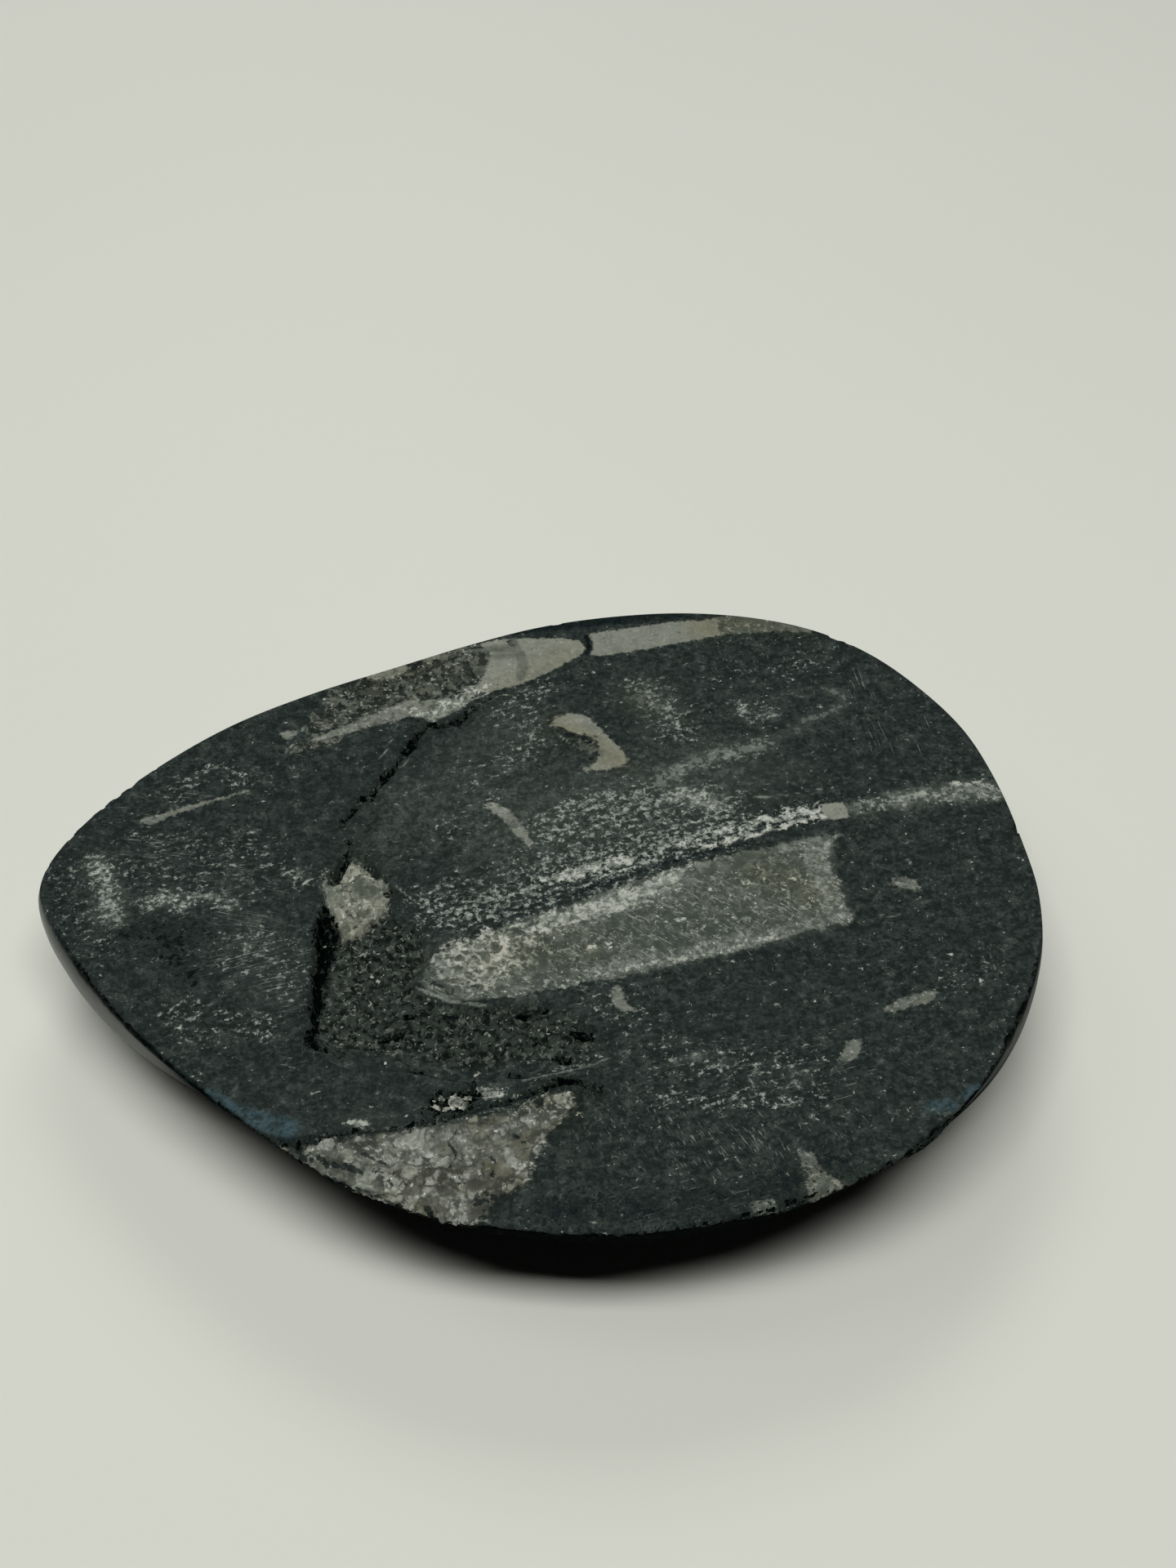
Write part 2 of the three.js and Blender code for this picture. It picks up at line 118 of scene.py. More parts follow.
PATCH_GROOVE = [
    (-24.4, -31.2, 0.6, 0.4), (-21.6, -30.9, 0.7, 0.35), (-18.6, -29.9, 0.8, 0.25),
    (-15.4, -29.4, 0.6, 0.3), (-12, -29.2, 0.8, 0.2), (-8.6, -28.3, 1.1, 0.3),
    (-5.4, -27.2, 0.7, 0.2), (-2, -26.2, 1.1, 0.3), (0.6, -24.9, 0.8, 0.35),
    (2.8, -23.9, 0.8, 0.8), (4.2, -23.9, 0.6, 0.7), (5.6, -25, 0.4, 0.3), (6.4, -26.2, 0.3, 0.2),
]
# Pits: (x, y, length, width, depth, heading in degrees).
PITS = [
    (-13.5, -18.2, 2.0, 1.0, 1.4, 25), (-11.9, -15.9, 1.5, 0.6, 1.1, 20),
    (-1.2, -16.1, 1.3, 0.7, 1.1, -20), (4.6, -18.5, 2.4, 0.8, 1.2, -25),
    (2.7, -21.2, 2.0, 0.7, 1.2, -10), (-1.6, -23.3, 1.7, 0.7, 1.0, -15),
    (-10.9, -22.7, 1.8, 0.5, 0.9, -8), (-5.6, -25, 2.0, 0.6, 1.1, 85),
    (3.8, -23.8, 1.3, 0.6, 1.1, 5), (-15, -0.8, 1.1, 0.9, 1.2, 0),
    (0.9, -15.7, 1.0, 0.5, 0.9, 15), (6.1, -24.8, 1.8, 0.7, 0.8, -60),
    (-7.4, -26.2, 5.0, 2.4, 0.8, 10), (-17.2, -17.1, 1.0, 0.4, 0.8, 40),
    (-8.2, -20.4, 1.1, 0.4, 0.8, -30), (0.2, -19.2, 1.2, 0.4, 0.8, 35),
]
# Runs of chips, where 0 to 1 goes once round the rim: (from, to, chips, length, bite, depth).
RIM_CHIP_RUNS = [
    (0.563, 0.612, 9, 1.2, 0.3, 0.35), (0.61, 0.668, 9, 2.2, 0.4, 0.5),
    (0.735, 0.8, 8, 2.8, 0.45, 0.6), (0.8, 0.85, 7, 3.2, 0.8, 0.9),
    (0.868, 0.908, 6, 3.0, 0.6, 0.8), (0.93, 0.952, 3, 1.8, 0.4, 0.6),
    (0.034, 0.035, 1, 2.2, 1.0, 1.0), (0.148, 0.156, 2, 1.5, 0.2, 0.3),
    (0.27, 0.272, 1, 1.8, 0.3, 0.4), (0.42, 0.5, 10, 1.6, 0.2, 0.25),
]

# ---- what the sawn face shows, in plan ---------------------------------------

ORTHOCONE = [
    (-11.2, -12.6), (-10.6, -10.6), (-9.4, -8.6), (-5.2, -6.3), (-1, -4.2), (3, -2.6),
    (6.5, -1), (10, 0.6), (14, 2.4), (18, 3.6), (22, 4.7), (25.5, 5.6), (28.5, 6.4),
    (31.7, 6.9), (30.3, 6.1), (29.8, 5), (29.6, 3.6), (30, 2.2), (30.1, 1.2), (30.8, 0.4),
    (30.5, -0.6), (31, -1.6), (30.7, -2.6), (31.1, -3.8), (32, -4.9), (29, -5.4),
    (26, -6.3), (22.8, -7.4), (19.5, -8.6), (16, -9.7), (12, -10.6), (8.6, -11.7),
    (4.5, -12.5), (1, -13.4), (-2, -14.1), (-5, -14.6), (-8.4, -14.6), (-10.2, -13.8),
]

# Pale calcite with a crisp edge: (tone from 0 to 1, outline).
PALE_SHELLS = {
    "slender cone's end": (1.0, [
        (29.4, 8.9), (29.3, 10.8), (30.1, 11.1), (31.8, 11.4), (31.9, 10.5), (32.3, 9.2),
        (31, 8.8),
    ]),
    "crescent": (0.86, [
        (0.9, 22.5), (1.8, 23.8), (3.4, 24.5), (4.8, 24.1), (6, 22.9), (7, 21.4),
        (8.1, 19.7), (9.2, 18.2), (9.4, 17.2), (8.4, 16.3), (6.8, 15.9), (5, 15.7),
        (3.9, 15.9), (5.4, 16.4), (6, 17.2), (6.1, 18.4), (6.3, 19.4), (6, 20.2),
        (5, 20.8), (4, 21.1), (3, 21.7), (2.2, 22.4),
    ]),
    "lower crescent": (0.55, [
        (7.9, -12.5), (7.3, -13.6), (7.5, -15), (8.6, -15.9), (10.1, -15.9), (9, -15.1),
        (8.5, -14), (8.5, -12.9),
    ]),
    "curved sliver": (0.75, [
        (-5.7, 11.2), (-4.6, 11.3), (-3, 10.2), (-1.9, 8.6), (-1, 7), (-0.6, 5.5), (-1.2, 5.3),
        (-2, 6.4), (-2.9, 7.7), (-4, 9.2), (-5.2, 10.2),
    ]),
    "needle": (0.6, [
        (-41.4, 8.9), (-40.1, 7.8), (-38.6, 9), (-36, 10.4), (-33, 11.8), (-30.2, 12.9),
        (-30.4, 13.1), (-33.4, 12), (-36.4, 10.9), (-39, 9.7),
    ]),
    "half-moon": (0.55, [
        (35.5, -0.2), (35.7, 0.5), (36.3, 1.1), (37.2, 1.2), (38, 0.8), (38.5, 0.1),
        (38.7, -0.8), (38, -0.8), (37.2, -0.4), (36.3, -0.2),
    ]),
    "wedge": (0.42, [
        (33.2, -15.6), (35, -14.5), (37.6, -13.4), (38.8, -13.5), (38.4, -14.7),
        (36.5, -15.2), (34.4, -16),
    ]),
    "right blob": (0.5, [
        (28.5, -21.6), (29.3, -20.4), (29.5, -19.4), (31, -19.2), (30.8, -20.6),
        (30, -21.7),
    ]),
    "rim triangle": (0.3, [
        (24.2, -31.8), (25.6, -31.9), (26.2, -33.4), (27.8, -35), (28.4, -36.2),
        (25, -36.8), (24.4, -34.4),
    ]),
    "rim scrap": (0.25, [(19.4, -37), (21.6, -36.6), (22.4, -38), (20, -38.2)]),
    "far blob": (0.66, [
        (-28.1, 21.1), (-27.1, 20.2), (-26.3, 20.9), (-26.1, 21.9), (-26.8, 21.5),
        (-27.4, 21.8),
    ]),
    "far streak": (0.66, [
        (-25.4, 19.9), (-22, 20.9), (-20, 21.6), (-17, 22.8), (-14, 23.9), (-12.8, 23.6),
        (-11.7, 23), (-10, 24.1), (-8.4, 25.3), (-7.4, 26.8), (-8.8, 26.8), (-10.6, 26.6),
        (-12.6, 26.5), (-14.5, 26.4), (-16.2, 25.4), (-18, 24.3), (-20.6, 22.9), (-22.6, 21.6),
    ]),
    "far chamber": (0.92, [
        (-7.2, 35.4), (-5, 36), (-3, 36.3), (0, 36.3), (2.8, 36.3), (4.3, 35.8), (4.9, 34.8),
        (4.4, 33.6), (2.6, 32.2), (0.5, 30.6), (-2, 29.1), (-4, 28.3), (-5.5, 27.6),
        (-7.4, 26.4), (-8.4, 26.9), (-7.2, 28.6), (-6.4, 30.4), (-6, 32), (-5.8, 33.6),
        (-6.4, 34.6),
    ]),
    "far band": (0.84, [
        (4.9, 36.9), (7, 37.4), (10, 38), (14, 38.9), (18, 39.3), (19.8, 39.7), (20.2, 36.9),
        (18, 36.2), (15, 35.4), (12, 34.6), (9, 33.9), (6.2, 33.3), (5.4, 33.8), (5.7, 34.9),
        (5.6, 35.8),
    ]),
    "rusty end": (0.12, [
        (19.6, 39.7), (24, 40.5), (27, 40), (30, 38.7), (31.6, 37.4), (29.5, 37.3), (27, 37.5),
        (24, 37.2), (20, 36.9),
    ]),
    "far rim patch": (0.7, [
        (-20, 29.9), (-17.6, 31.3), (-15.2, 32.2), (-14.8, 31.2), (-15.5, 30.4),
        (-17.2, 29.6), (-18.8, 29.7),
    ]),
    "far rim scrap": (0.55, [(-13, 33.4), (-11.4, 34.2), (-11.2, 33), (-12.4, 32.4)]),
    "crystal bed": (0.75, CRYSTAL_CLUSTER),
}

# Soft marks: (half width, strength, corners of the line it follows).
CREAM_STREAKS = [
    (1.3, 0.5, [(-8.6, -8.6), (-6, -7.2), (-3.4, -6.2), (-1, -5.4), (2, -4.4)]),
    (1.0, 0.5, [(-3, -7), (-2.2, -9), (-3.2, -11)]),
    (0.5, 0.9, [(-3.4, -6.8), (-2.8, -8.4), (-3.8, -9.4)]),
    (0.5, 0.7, [(-8.4, -9.4), (-6.6, -10.6), (-4.8, -10.4)]),
    (0.3, 1.0, [(20.6, 0.5), (21.6, 0.3)]),
    (0.28, 1.0, [(25.5, 0.9), (26.2, 0.7)]),
    (0.3, 0.9, [(13.8, -4.7), (14.5, -4.4)]),
    (0.25, 0.9, [(17.4, -0.6), (18.2, -0.8)]),
    (0.3, 0.9, [(5.2, -8), (5.9, -7.8)]),
    (1.2, 0.7, [(-11.4, 24.4), (-9, 26.4), (-6.8, 28)]),
    (0.8, 0.8, [(-8.2, 26.8), (-6, 28.4)]),
    (0.7, 0.6, [(-14, 24.6), (-12, 24.2)]),
    (0.5, 1.0, [(-17.5, -4.1), (-17.1, -3.6)]),
    (1.3, 0.7, [(0, -5.6), (4, -4.6), (8, -2.8), (12, -0.8)]),
    (0.9, 1.0, [(0.5, -4.6), (3.5, -3.6), (6.5, -2.5), (9.5, -1.1), (12, 0.3), (14.5, 1.7)]),
    (0.7, 0.75, [(14, 1.6), (16, 2.6), (18, 3.2)]),
    (1.0, 0.9, [(1.2, 0.7), (4.2, 1.8), (7, 2.7), (9.4, 3.4)]),
    (0.5, 0.8, [(17, 5), (21, 6.4), (24, 7.6), (27, 8.6), (29.4, 9.4)]),
    (1.0, 0.62, [(13, 5), (17, 6.4), (21, 8), (25, 9.4), (29, 10.2)]),
    (1.5, 0.5, [(14.6, 12.4), (17, 12), (19.4, 10.6)]),
    (0.5, 0.36, [(29.9, 6), (29.5, 4), (30, 1.4), (30.5, -1), (30.6, -3.4), (31, -4.7)]),
    (0.5, 0.8, [(39, 12), (40.4, 12.6)]),
    (0.5, 0.9, [(43.4, 13.9), (46.2, 14), (47.6, 13.3)]),
    (1.1, 0.42, [(-45.2, 3), (-44, 2), (-42.8, 2.4)]),
    (1.3, 0.3, [(-43.6, 1), (-42.6, -1.6), (-42, -4)]),
    (0.9, 0.5, [(-38.4, -2.2), (-36.8, -1.6), (-35.6, -2.6)]),
    (0.9, 0.6, [(-21.6, 1), (-20.6, -0.6), (-20.3, -3)]),
    (1.6, 0.4, [(0, -28), (2.8, -26.4)]),
    (1.4, 0.35, [(-17, -31), (-12, -31.4)]),
    (0.5, 0.9, [(-17, -28.5), (-15.4, -28.7)]),
    (0.35, 1.0, [(-10, -31.3), (-9.2, -31.7)]),
    (0.4, 0.9, [(-13, -35), (-11.8, -35.3)]),
    (0.4, 0.8, [(-1.9, -32.6), (0, -33)]),
    (0.6, 0.8, [(-5.4, -25.2), (-3, -25.4)]),
    (0.5, 0.8, [(-12, -30.6), (-10.6, -30.4)]),
    (0.3, 0.8, [(-5.6, -32.6), (-4.4, -33.6)]),
    (0.5, 0.6, [(2.8, -25.4), (4, -26.2)]),
    (0.35, 0.7, [(6, -11.4), (12, -10), (18, -8.4), (24, -6.4)]),
]
# Ground that is thick with pale specks.
SPECKLED_GROUND = [
    (3.4, 0.62, [(-6, -3), (0, 0.5), (6, 3), (12, 5), (18, 7.4)]),
    (1.5, 0.85, [(13, 5.2), (17, 6.6), (21, 8), (25, 9), (29, 10)]),
    (2.4, 0.6, [(-10, -4), (-5, -3.4), (0, -1.6), (6, 1), (12, 3.4)]),
    (3.2, 0.6, [(1, 7.4), (6, 9.6), (11, 11.4), (16, 11.6), (19, 10)]),
    (1.6, 0.62, [(3, 10.6), (8, 12), (12, 12.4)]),
    (1.9, 0.85, [(14.6, 12.4), (17, 12), (19.4, 10.6)]),
    (2.6, 0.45, [(-11, -2.2), (-4, 0), (0, 3)]),
    (2.2, 0.42, [(-3, 27), (-1.4, 23), (-1, 20), (-4, 17)]),
    (1.6, 0.5, [(-5, 24.4), (-2, 27.4), (0.6, 28.6)]),
    (2.6, 0.5, [(12, 28), (13, 25), (15, 22)]),
    (1.4, 0.5, [(14, 15), (19, 18), (24, 19.8)]),
    (1.8, 0.5, [(21.6, 25), (25, 24.2)]),
    (3.2, 0.4, [(13, -21), (20, -22), (26, -24)]),
    (1.3, 0.5, [(12, -25.6), (18, -26.4), (25, -26)]),
    (3.4, 0.4, [(-29, -8), (-25, -9), (-24, -12)]),
    (1.5, 0.76, [(-45, 3), (-43.4, 0), (-42, -4.6)]),
    (1.3, 0.72, [(-38.6, -2.6), (-37.2, -1.2), (-35.8, -2.8)]),
    (2.6, 0.3, [(-48, 2), (-46, -4), (-42, -9)]),
    (3.0, 0.34, [(-40, 6), (-34, 4), (-28, 2)]),
    (3.0, 0.36, [(-42, 2), (-36, 1), (-31, 0)]),
    (1.2, 0.6, [(-34.4, -1.2), (-30.4, -2.5)]),
    (1.6, 0.36, [(-33, 4.6), (-30, 4.4)]),
    (1.2, 0.5, [(-25.4, 1.6), (-23.6, 0.4)]),
    (3.4, 0.3, [(4, -18), (8, -14), (10, -17)]),
    (2.0, 0.3, [(-9, 16), (-5, 12), (-9, 7)]),
    (2.2, 0.4, [(-31, -19), (-34, -16), (-26, -18)]),
    (2.0, 0.42, [(-38, 13), (-35, 16), (-31, 15)]),
    (2.6, 0.32, [(-30, 6), (-28, 4)]),
    (2.4, 0.45, [(-18, 27), (-13, 28.6), (-9, 31)]),
    (1.3, 0.62, [(33.6, 11), (36, 11.4), (42, 12.4), (48.5, 13)]),
    (4.6, 0.5, [(-4, -1), (4, 3), (10, 6.6), (17, 9)]),
    (2.4, 0.3, [(40, -12), (44, -10)]),
    (2.4, 0.3, [(26, 31), (31, 33)]),
    (2.0, 0.35, [(-8, -30), (-2, -27), (4, -22)]),
]
# Faint pale clouds in the ground.
CLOUDS = [
    (1.4, 0.95, [(13, 14.6), (16, 16.6), (19, 18), (22, 19.1), (24.2, 19.8)]),
    (0.7, 0.65, [(25, 20.6), (28.6, 22.2)]),
    (2.2, 0.4, [(17, 13), (22, 15), (27, 16.4)]),
    (0.7, 0.85, [(28.6, 23.2), (31.4, 24.6), (33, 25.6), (33, 27.4), (31.4, 28.1)]),
    (2.9, 0.7, [(11, 27.6), (13, 25)]),
    (5.5, 0.34, [(0, 10), (8, 12), (18, 14)]),
    (4.0, 0.22, [(-14, 12), (-6, 17), (-3, 23)]),
    (2.2, 0.5, [(14, 12.4), (18, 11.4)]),
    (1.6, 0.6, [(22, 24.8), (24.6, 24.4)]),
    (0.8, 0.5, [(25.4, 27), (28, 27.6)]),
    (0.5, 0.35, [(30.4, 31.6), (32, 33.6), (32.3, 35)]),
    (2.2, 0.35, [(6, 13.4), (14, 13)]),
    (3.6, 0.25, [(0, 4), (10, 8), (16, 9)]),
    (1.3, 0.75, [(36.4, 11.6), (40, 12.4), (44, 13), (48.6, 13)]),
    (0.6, 0.5, [(23, 12), (26, 12.4)]),
    (0.5, 0.4, [(33, 10.6), (35, 11.8)]),
    (3.0, 0.28, [(-28.6, -6.6), (-25.4, -9), (-25.6, -12.6)]),
    (1.0, 0.65, [(-33, -1.6), (-30.4, -2.4)]),
    (1.2, 0.4, [(-28.6, -5), (-28.4, -8.6)]),
    (1.3, 0.6, [(-45, 3), (-43.6, 1), (-42.6, -1.4), (-42, -4.6)]),
    (1.1, 0.5, [(-38.6, -2.6), (-36.8, -1), (-35.4, -2.4)]),
    (0.5, 0.6, [(-34.4, -1.2), (-32, -1.9), (-30.6, -2.4)]),
    (0.4, 0.45, [(-33.6, 1), (-30.6, 0), (-28, -1.6)]),
    (0.8, 0.6, [(-17.2, -28.3), (-15, -28.6)]),
    (0.5, 0.5, [(-11.4, -26.8), (-10, -26.6)]),
    (0.9, 0.5, [(-4.6, -25.2), (-2.8, -25.6)]),
    (0.6, 0.7, [(13.4, -21.8), (15.8, -21)]),
    (0.5, 0.6, [(17.2, -22.2), (18.4, -21.8)]),
    (0.45, 0.6, [(24, -24.2), (24.4, -23), (25.4, -22.8), (25.6, -23.6), (24.8, -24.4)]),
    (0.3, 0.5, [(23, -25), (24.2, -24.2)]),
    (0.25, 0.4, [(30, -17.4), (33.4, -15.8)]),
    (0.5, 0.35, [(5, -22), (7, -21.6)]),
    (0.7, 0.4, [(-26.4, 19.2), (-26.6, 22.6)]),
    (0.7, 0.55, [(24.6, -35.4), (29, -35.4)]),
    (0.5, 0.4, [(3.6, -16.6), (6, -14.6)]),
    (1.0, 0.4, [(-16, -28), (-13, -28)]),
]
# Smooth pale veils.
VEILS = [
    (1.15, 0.8, [(29.2, 5.6), (28.6, 4), (28.8, 1.4), (29.3, -1), (29.5, -3), (30, -4)]),
    (0.6, 0.5, [(25, 5), (28, 5.8), (30, 6.3)]),
    (0.9, 0.55, [(6, -11.2), (12, -9.7), (18, -8.1), (24, -6.1), (29, -4.8)]),
    (2.6, 0.3, [(-9, -10), (-5, -11), (-2, -12)]),
    (1.2, 0.5, [(1, -5), (8, -2.6), (15, 1)]),
    (1.4, 0.16, [(-45, 3), (-43.6, 0), (-42.4, -4)]),
    (1.2, 0.12, [(-38.6, -2.6), (-35.6, -2)]),
    (6.0, 0.12, [(-4, 6), (6, 12), (16, 15)]),
    (5.0, 0.1, [(-14, 8), (-6, 14), (-2, 22)]),
    (1.2, 0.5, [(-5, 30.6), (-3.6, 31.4)]),
    (1.0, 0.4, [(-6.6, -31.6), (-5.8, -31.2)]),
    (1.1, 0.4, [(-6.4, -36), (-5.8, -37.4)]),
    (0.8, 0.5, [(-3.9, -29.7), (-3.4, -30)]),
    (1.6, 0.35, [(14.6, 12.6), (18.6, 11.4)]),
    (1.2, 0.55, [(38, 11.6), (43, 12.7), (48.4, 13)]),
    (0.9, 0.35, [(32.6, 10.4), (38, 11.4)]),
    (0.5, 0.65, [(-19.5, -31.2), (-15, -32.2), (-11.5, -32.8)]),
    (0.4, 0.6, [(-18.5, -33.4), (-14, -35)]),
    (0.35, 0.55, [(-14, -36.6), (-10.6, -38)]),
    (1.1, 0.5, [(-12, -30.4), (-6, -29.4)]),
    (0.8, 0.45, [(2.4, 23.5), (5, 23)]),
    (1.3, 0.6, [(-13, -30.8), (-9.5, -30.6)]),
    (1.0, 0.6, [(-4, -29.2), (-1.6, -28.8)]),
    (0.9, 0.5, [(-3.6, -31.6), (-2, -32.2)]),
    (1.0, 0.4, [(-10.4, -36), (-7.6, -36.4)]),
    (0.8, 0.6, [(-20.8, -0.4), (-20.3, -2.4)]),
]
# Grey, clearer calcite inside pale calcite.
GREY_ZONES = [
    (0.6, 1.0, [(-3.3, 35.7), (-2.9, 34.4), (-2.3, 33.2), (-2.1, 31.9), (-2.3, 30)]),
    (0.7, 1.0, [(-6.9, 34), (-6.5, 32.4), (-7, 31)]),
    (0.6, 0.8, [(-6, 34.5), (-3.6, 34.6)]),
    (0.8, 0.55, [(-5.6, 33.2), (-3.4, 33.4)]),
    (1.0, 0.9, [(-18.2, 0.4), (-17.2, -0.8)]),
    (0.8, 0.6, [(4.2, 19.9), (6.4, 18.4)]),
    (1.2, 0.6, [(-19, -33.4), (-21.6, -32.4)]),
    (1.4, 0.6, [(17, 2.4), (20, 2.6), (22, 3.6)]),
    (1.2, 0.5, [(2, -7.4), (6, -5.6)]),
    (1.0, 0.6, [(26.6, 38.6), (30, 37.8)]),
]
# Coarse brown-olive and white calcite in the ground.
MOTTLED = [
    (3.2, 1.0, [(-20, 26.4), (-14.6, 28.4), (-10, 30.6), (-8.6, 33)]),
    (1.6, 0.8, [(-24, 22.8), (-20, 25), (-16, 26.4)]),
    (1.2, 0.6, [(-23, 27), (-16, 31)]),
    (0.9, 0.6, [(-26.6, 19), (-22, 20.6)]),
]
# Lumpy calcite with bright walls.
LUMPS = [
    (1.9, 0.9, [(-8.2, -9.6), (-5, -8.2), (-1.6, -7)]),
    (1.7, 0.8, [(-5, -10.6), (-2.4, -9.8)]),
    (1.2, 0.7, [(-8.4, -12), (-5, -12.6)]),
    (1.2, 0.5, [(0, -7.6), (1.6, -8.4)]),
]
# Thin pale threads: shell walls seen edge on, and healed hairline cracks.
THREADS = [
    (0.13, 0.9, [(-12, -12.4), (-10.4, -13.5), (-8.6, -14.4), (-6.6, -14.8), (-4.6, -15)]),
    (0.1, 0.7, [(-6, -14.8), (-5.3, -16.4), (-4.9, -17.6), (-3, -17.3)]),
    (0.1, 0.6, [(-6.6, -19), (-5, -20), (-3, -19)]),
    (0.14, 0.5, [(-1, -23.9), (2.6, -22.9), (5, -22), (7, -21.4)]),
    (0.08, 0.36, [(9, -20), (14, -19.6), (20, -19.2), (26, -18.4), (31, -16.8)]),
    (0.08, 0.3, [(13, -22), (20, -20.8), (27, -19.6)]),
    (0.08, 0.34, [(22, -25.6), (26, -24.6), (30, -23.4)]),
    (0.09, 0.6, [(21, 12), (25, 12.1), (29, 13.1), (31, 13.4)]),
    (0.12, 0.5, [(34, -3.8), (35.4, -4.2), (36.4, -3.6)]),
    (0.1, 0.5, [(33.4, -1.6), (34.6, -1.2)]),
    (0.1, 0.4, [(25, 18.6), (26.4, 17), (26, 14.8)]),
    (0.12, 0.5, [(-40, 5.6), (-38.6, 5.7), (-37, 5)]),
    (0.1, 0.6, [(-34.8, -1.4), (-32, -1.8), (-30, -2.6)]),
    (0.1, 0.5, [(-30, 0.6), (-28, -0.8), (-27, -1.6)]),
    (0.1, 0.45, [(-43, 12.6), (-40, 11.2)]),
    (0.1, 0.45, [(-39, 13.6), (-35, 12.2)]),
    (0.1, 0.5, [(-17.6, 16.2), (-16.4, 18.8), (-15.9, 20.4)]),
    (0.14, 0.6, [(-14.4, 0), (-12.6, -1.8), (-11.4, -2.8)]),
    (0.12, 0.8, [(2, 21), (3.1, 20), (4.4, 20.4), (5.8, 20), (6.6, 19.6)]),
    (0.1, 0.7, [(3.1, 19.3), (4.2, 20), (4.4, 21.2)]),
    (0.1, 0.6, [(4.4, 20.3), (5.3, 19.3), (6.3, 18.8)]),
    (0.1, 0.5, [(1.4, 21.6), (2.6, 20.6)]),
    (0.12, 0.7, [(-4.8, -24.6), (-4, -25.6), (-3, -25.2)]),
    (0.1, 0.6, [(-4.4, -26.2), (-3.2, -24.6)]),
    (0.14, 0.8, [(-1.9, -32.4), (-1.2, -33), (-0.4, -32.6), (0, -33.1)]),
    (0.14, 0.8, [(-5.2, -29.2), (-4.4, -29.1), (-3.7, -29.3)]),
    (0.16, 0.9, [(-1.4, -27.7), (-1, -26.8)]),
    (0.14, 0.8, [(0.1, -28.8), (0.6, -29.3)]),
    (0.12, 0.7, [(-5.4, -32.3), (-4.3, -33.4)]),
    (0.2, 0.8, [(-12.8, -35), (-12.3, -35.5), (-11.8, -35.1)]),
    (0.2, 0.7, [(-13.9, -33.1), (-12.6, -32.7)]),
    (0.1, 0.5, [(-23.6, -22), (-22, -22.6)]),
    (0.1, 0.5, [(-15.9, 15.4), (-14.4, 16.6), (-13.9, 18)]),
]
# Warm, rusty or olive staining.
TAN_STAINS = [
    (2.0, 0.6, [(18, 38), (24, 39), (30, 38)]),
    (1.6, 0.6, [(2, 23), (8.4, 17)]),
    (2.4, 0.5, [(-21, -32.6), (-15, -35)]),
    (1.4, 0.3, [(-19, 30), (-12.6, 32.4)]),
    (2.0, 0.3, [(-4, 29), (3, 34)]),
    (2.4, 0.55, [(0, -28.4), (3, -26.4)]),
    (1.6, 0.5, [(-9, -30.8), (-6.6, -31.6)]),
    (2.6, 0.5, [(-18, 1), (-18, -5)]),
    (3.0, 0.3, [(-4, -10), (4, -8)]),
    (2.6, 0.42, [(22, 2), (28, -1)]),
    (2.0, 0.25, [(24, -35), (30, -35)]),
    (2.2, 0.3, [(10, 27), (12, 25.6)]),
]
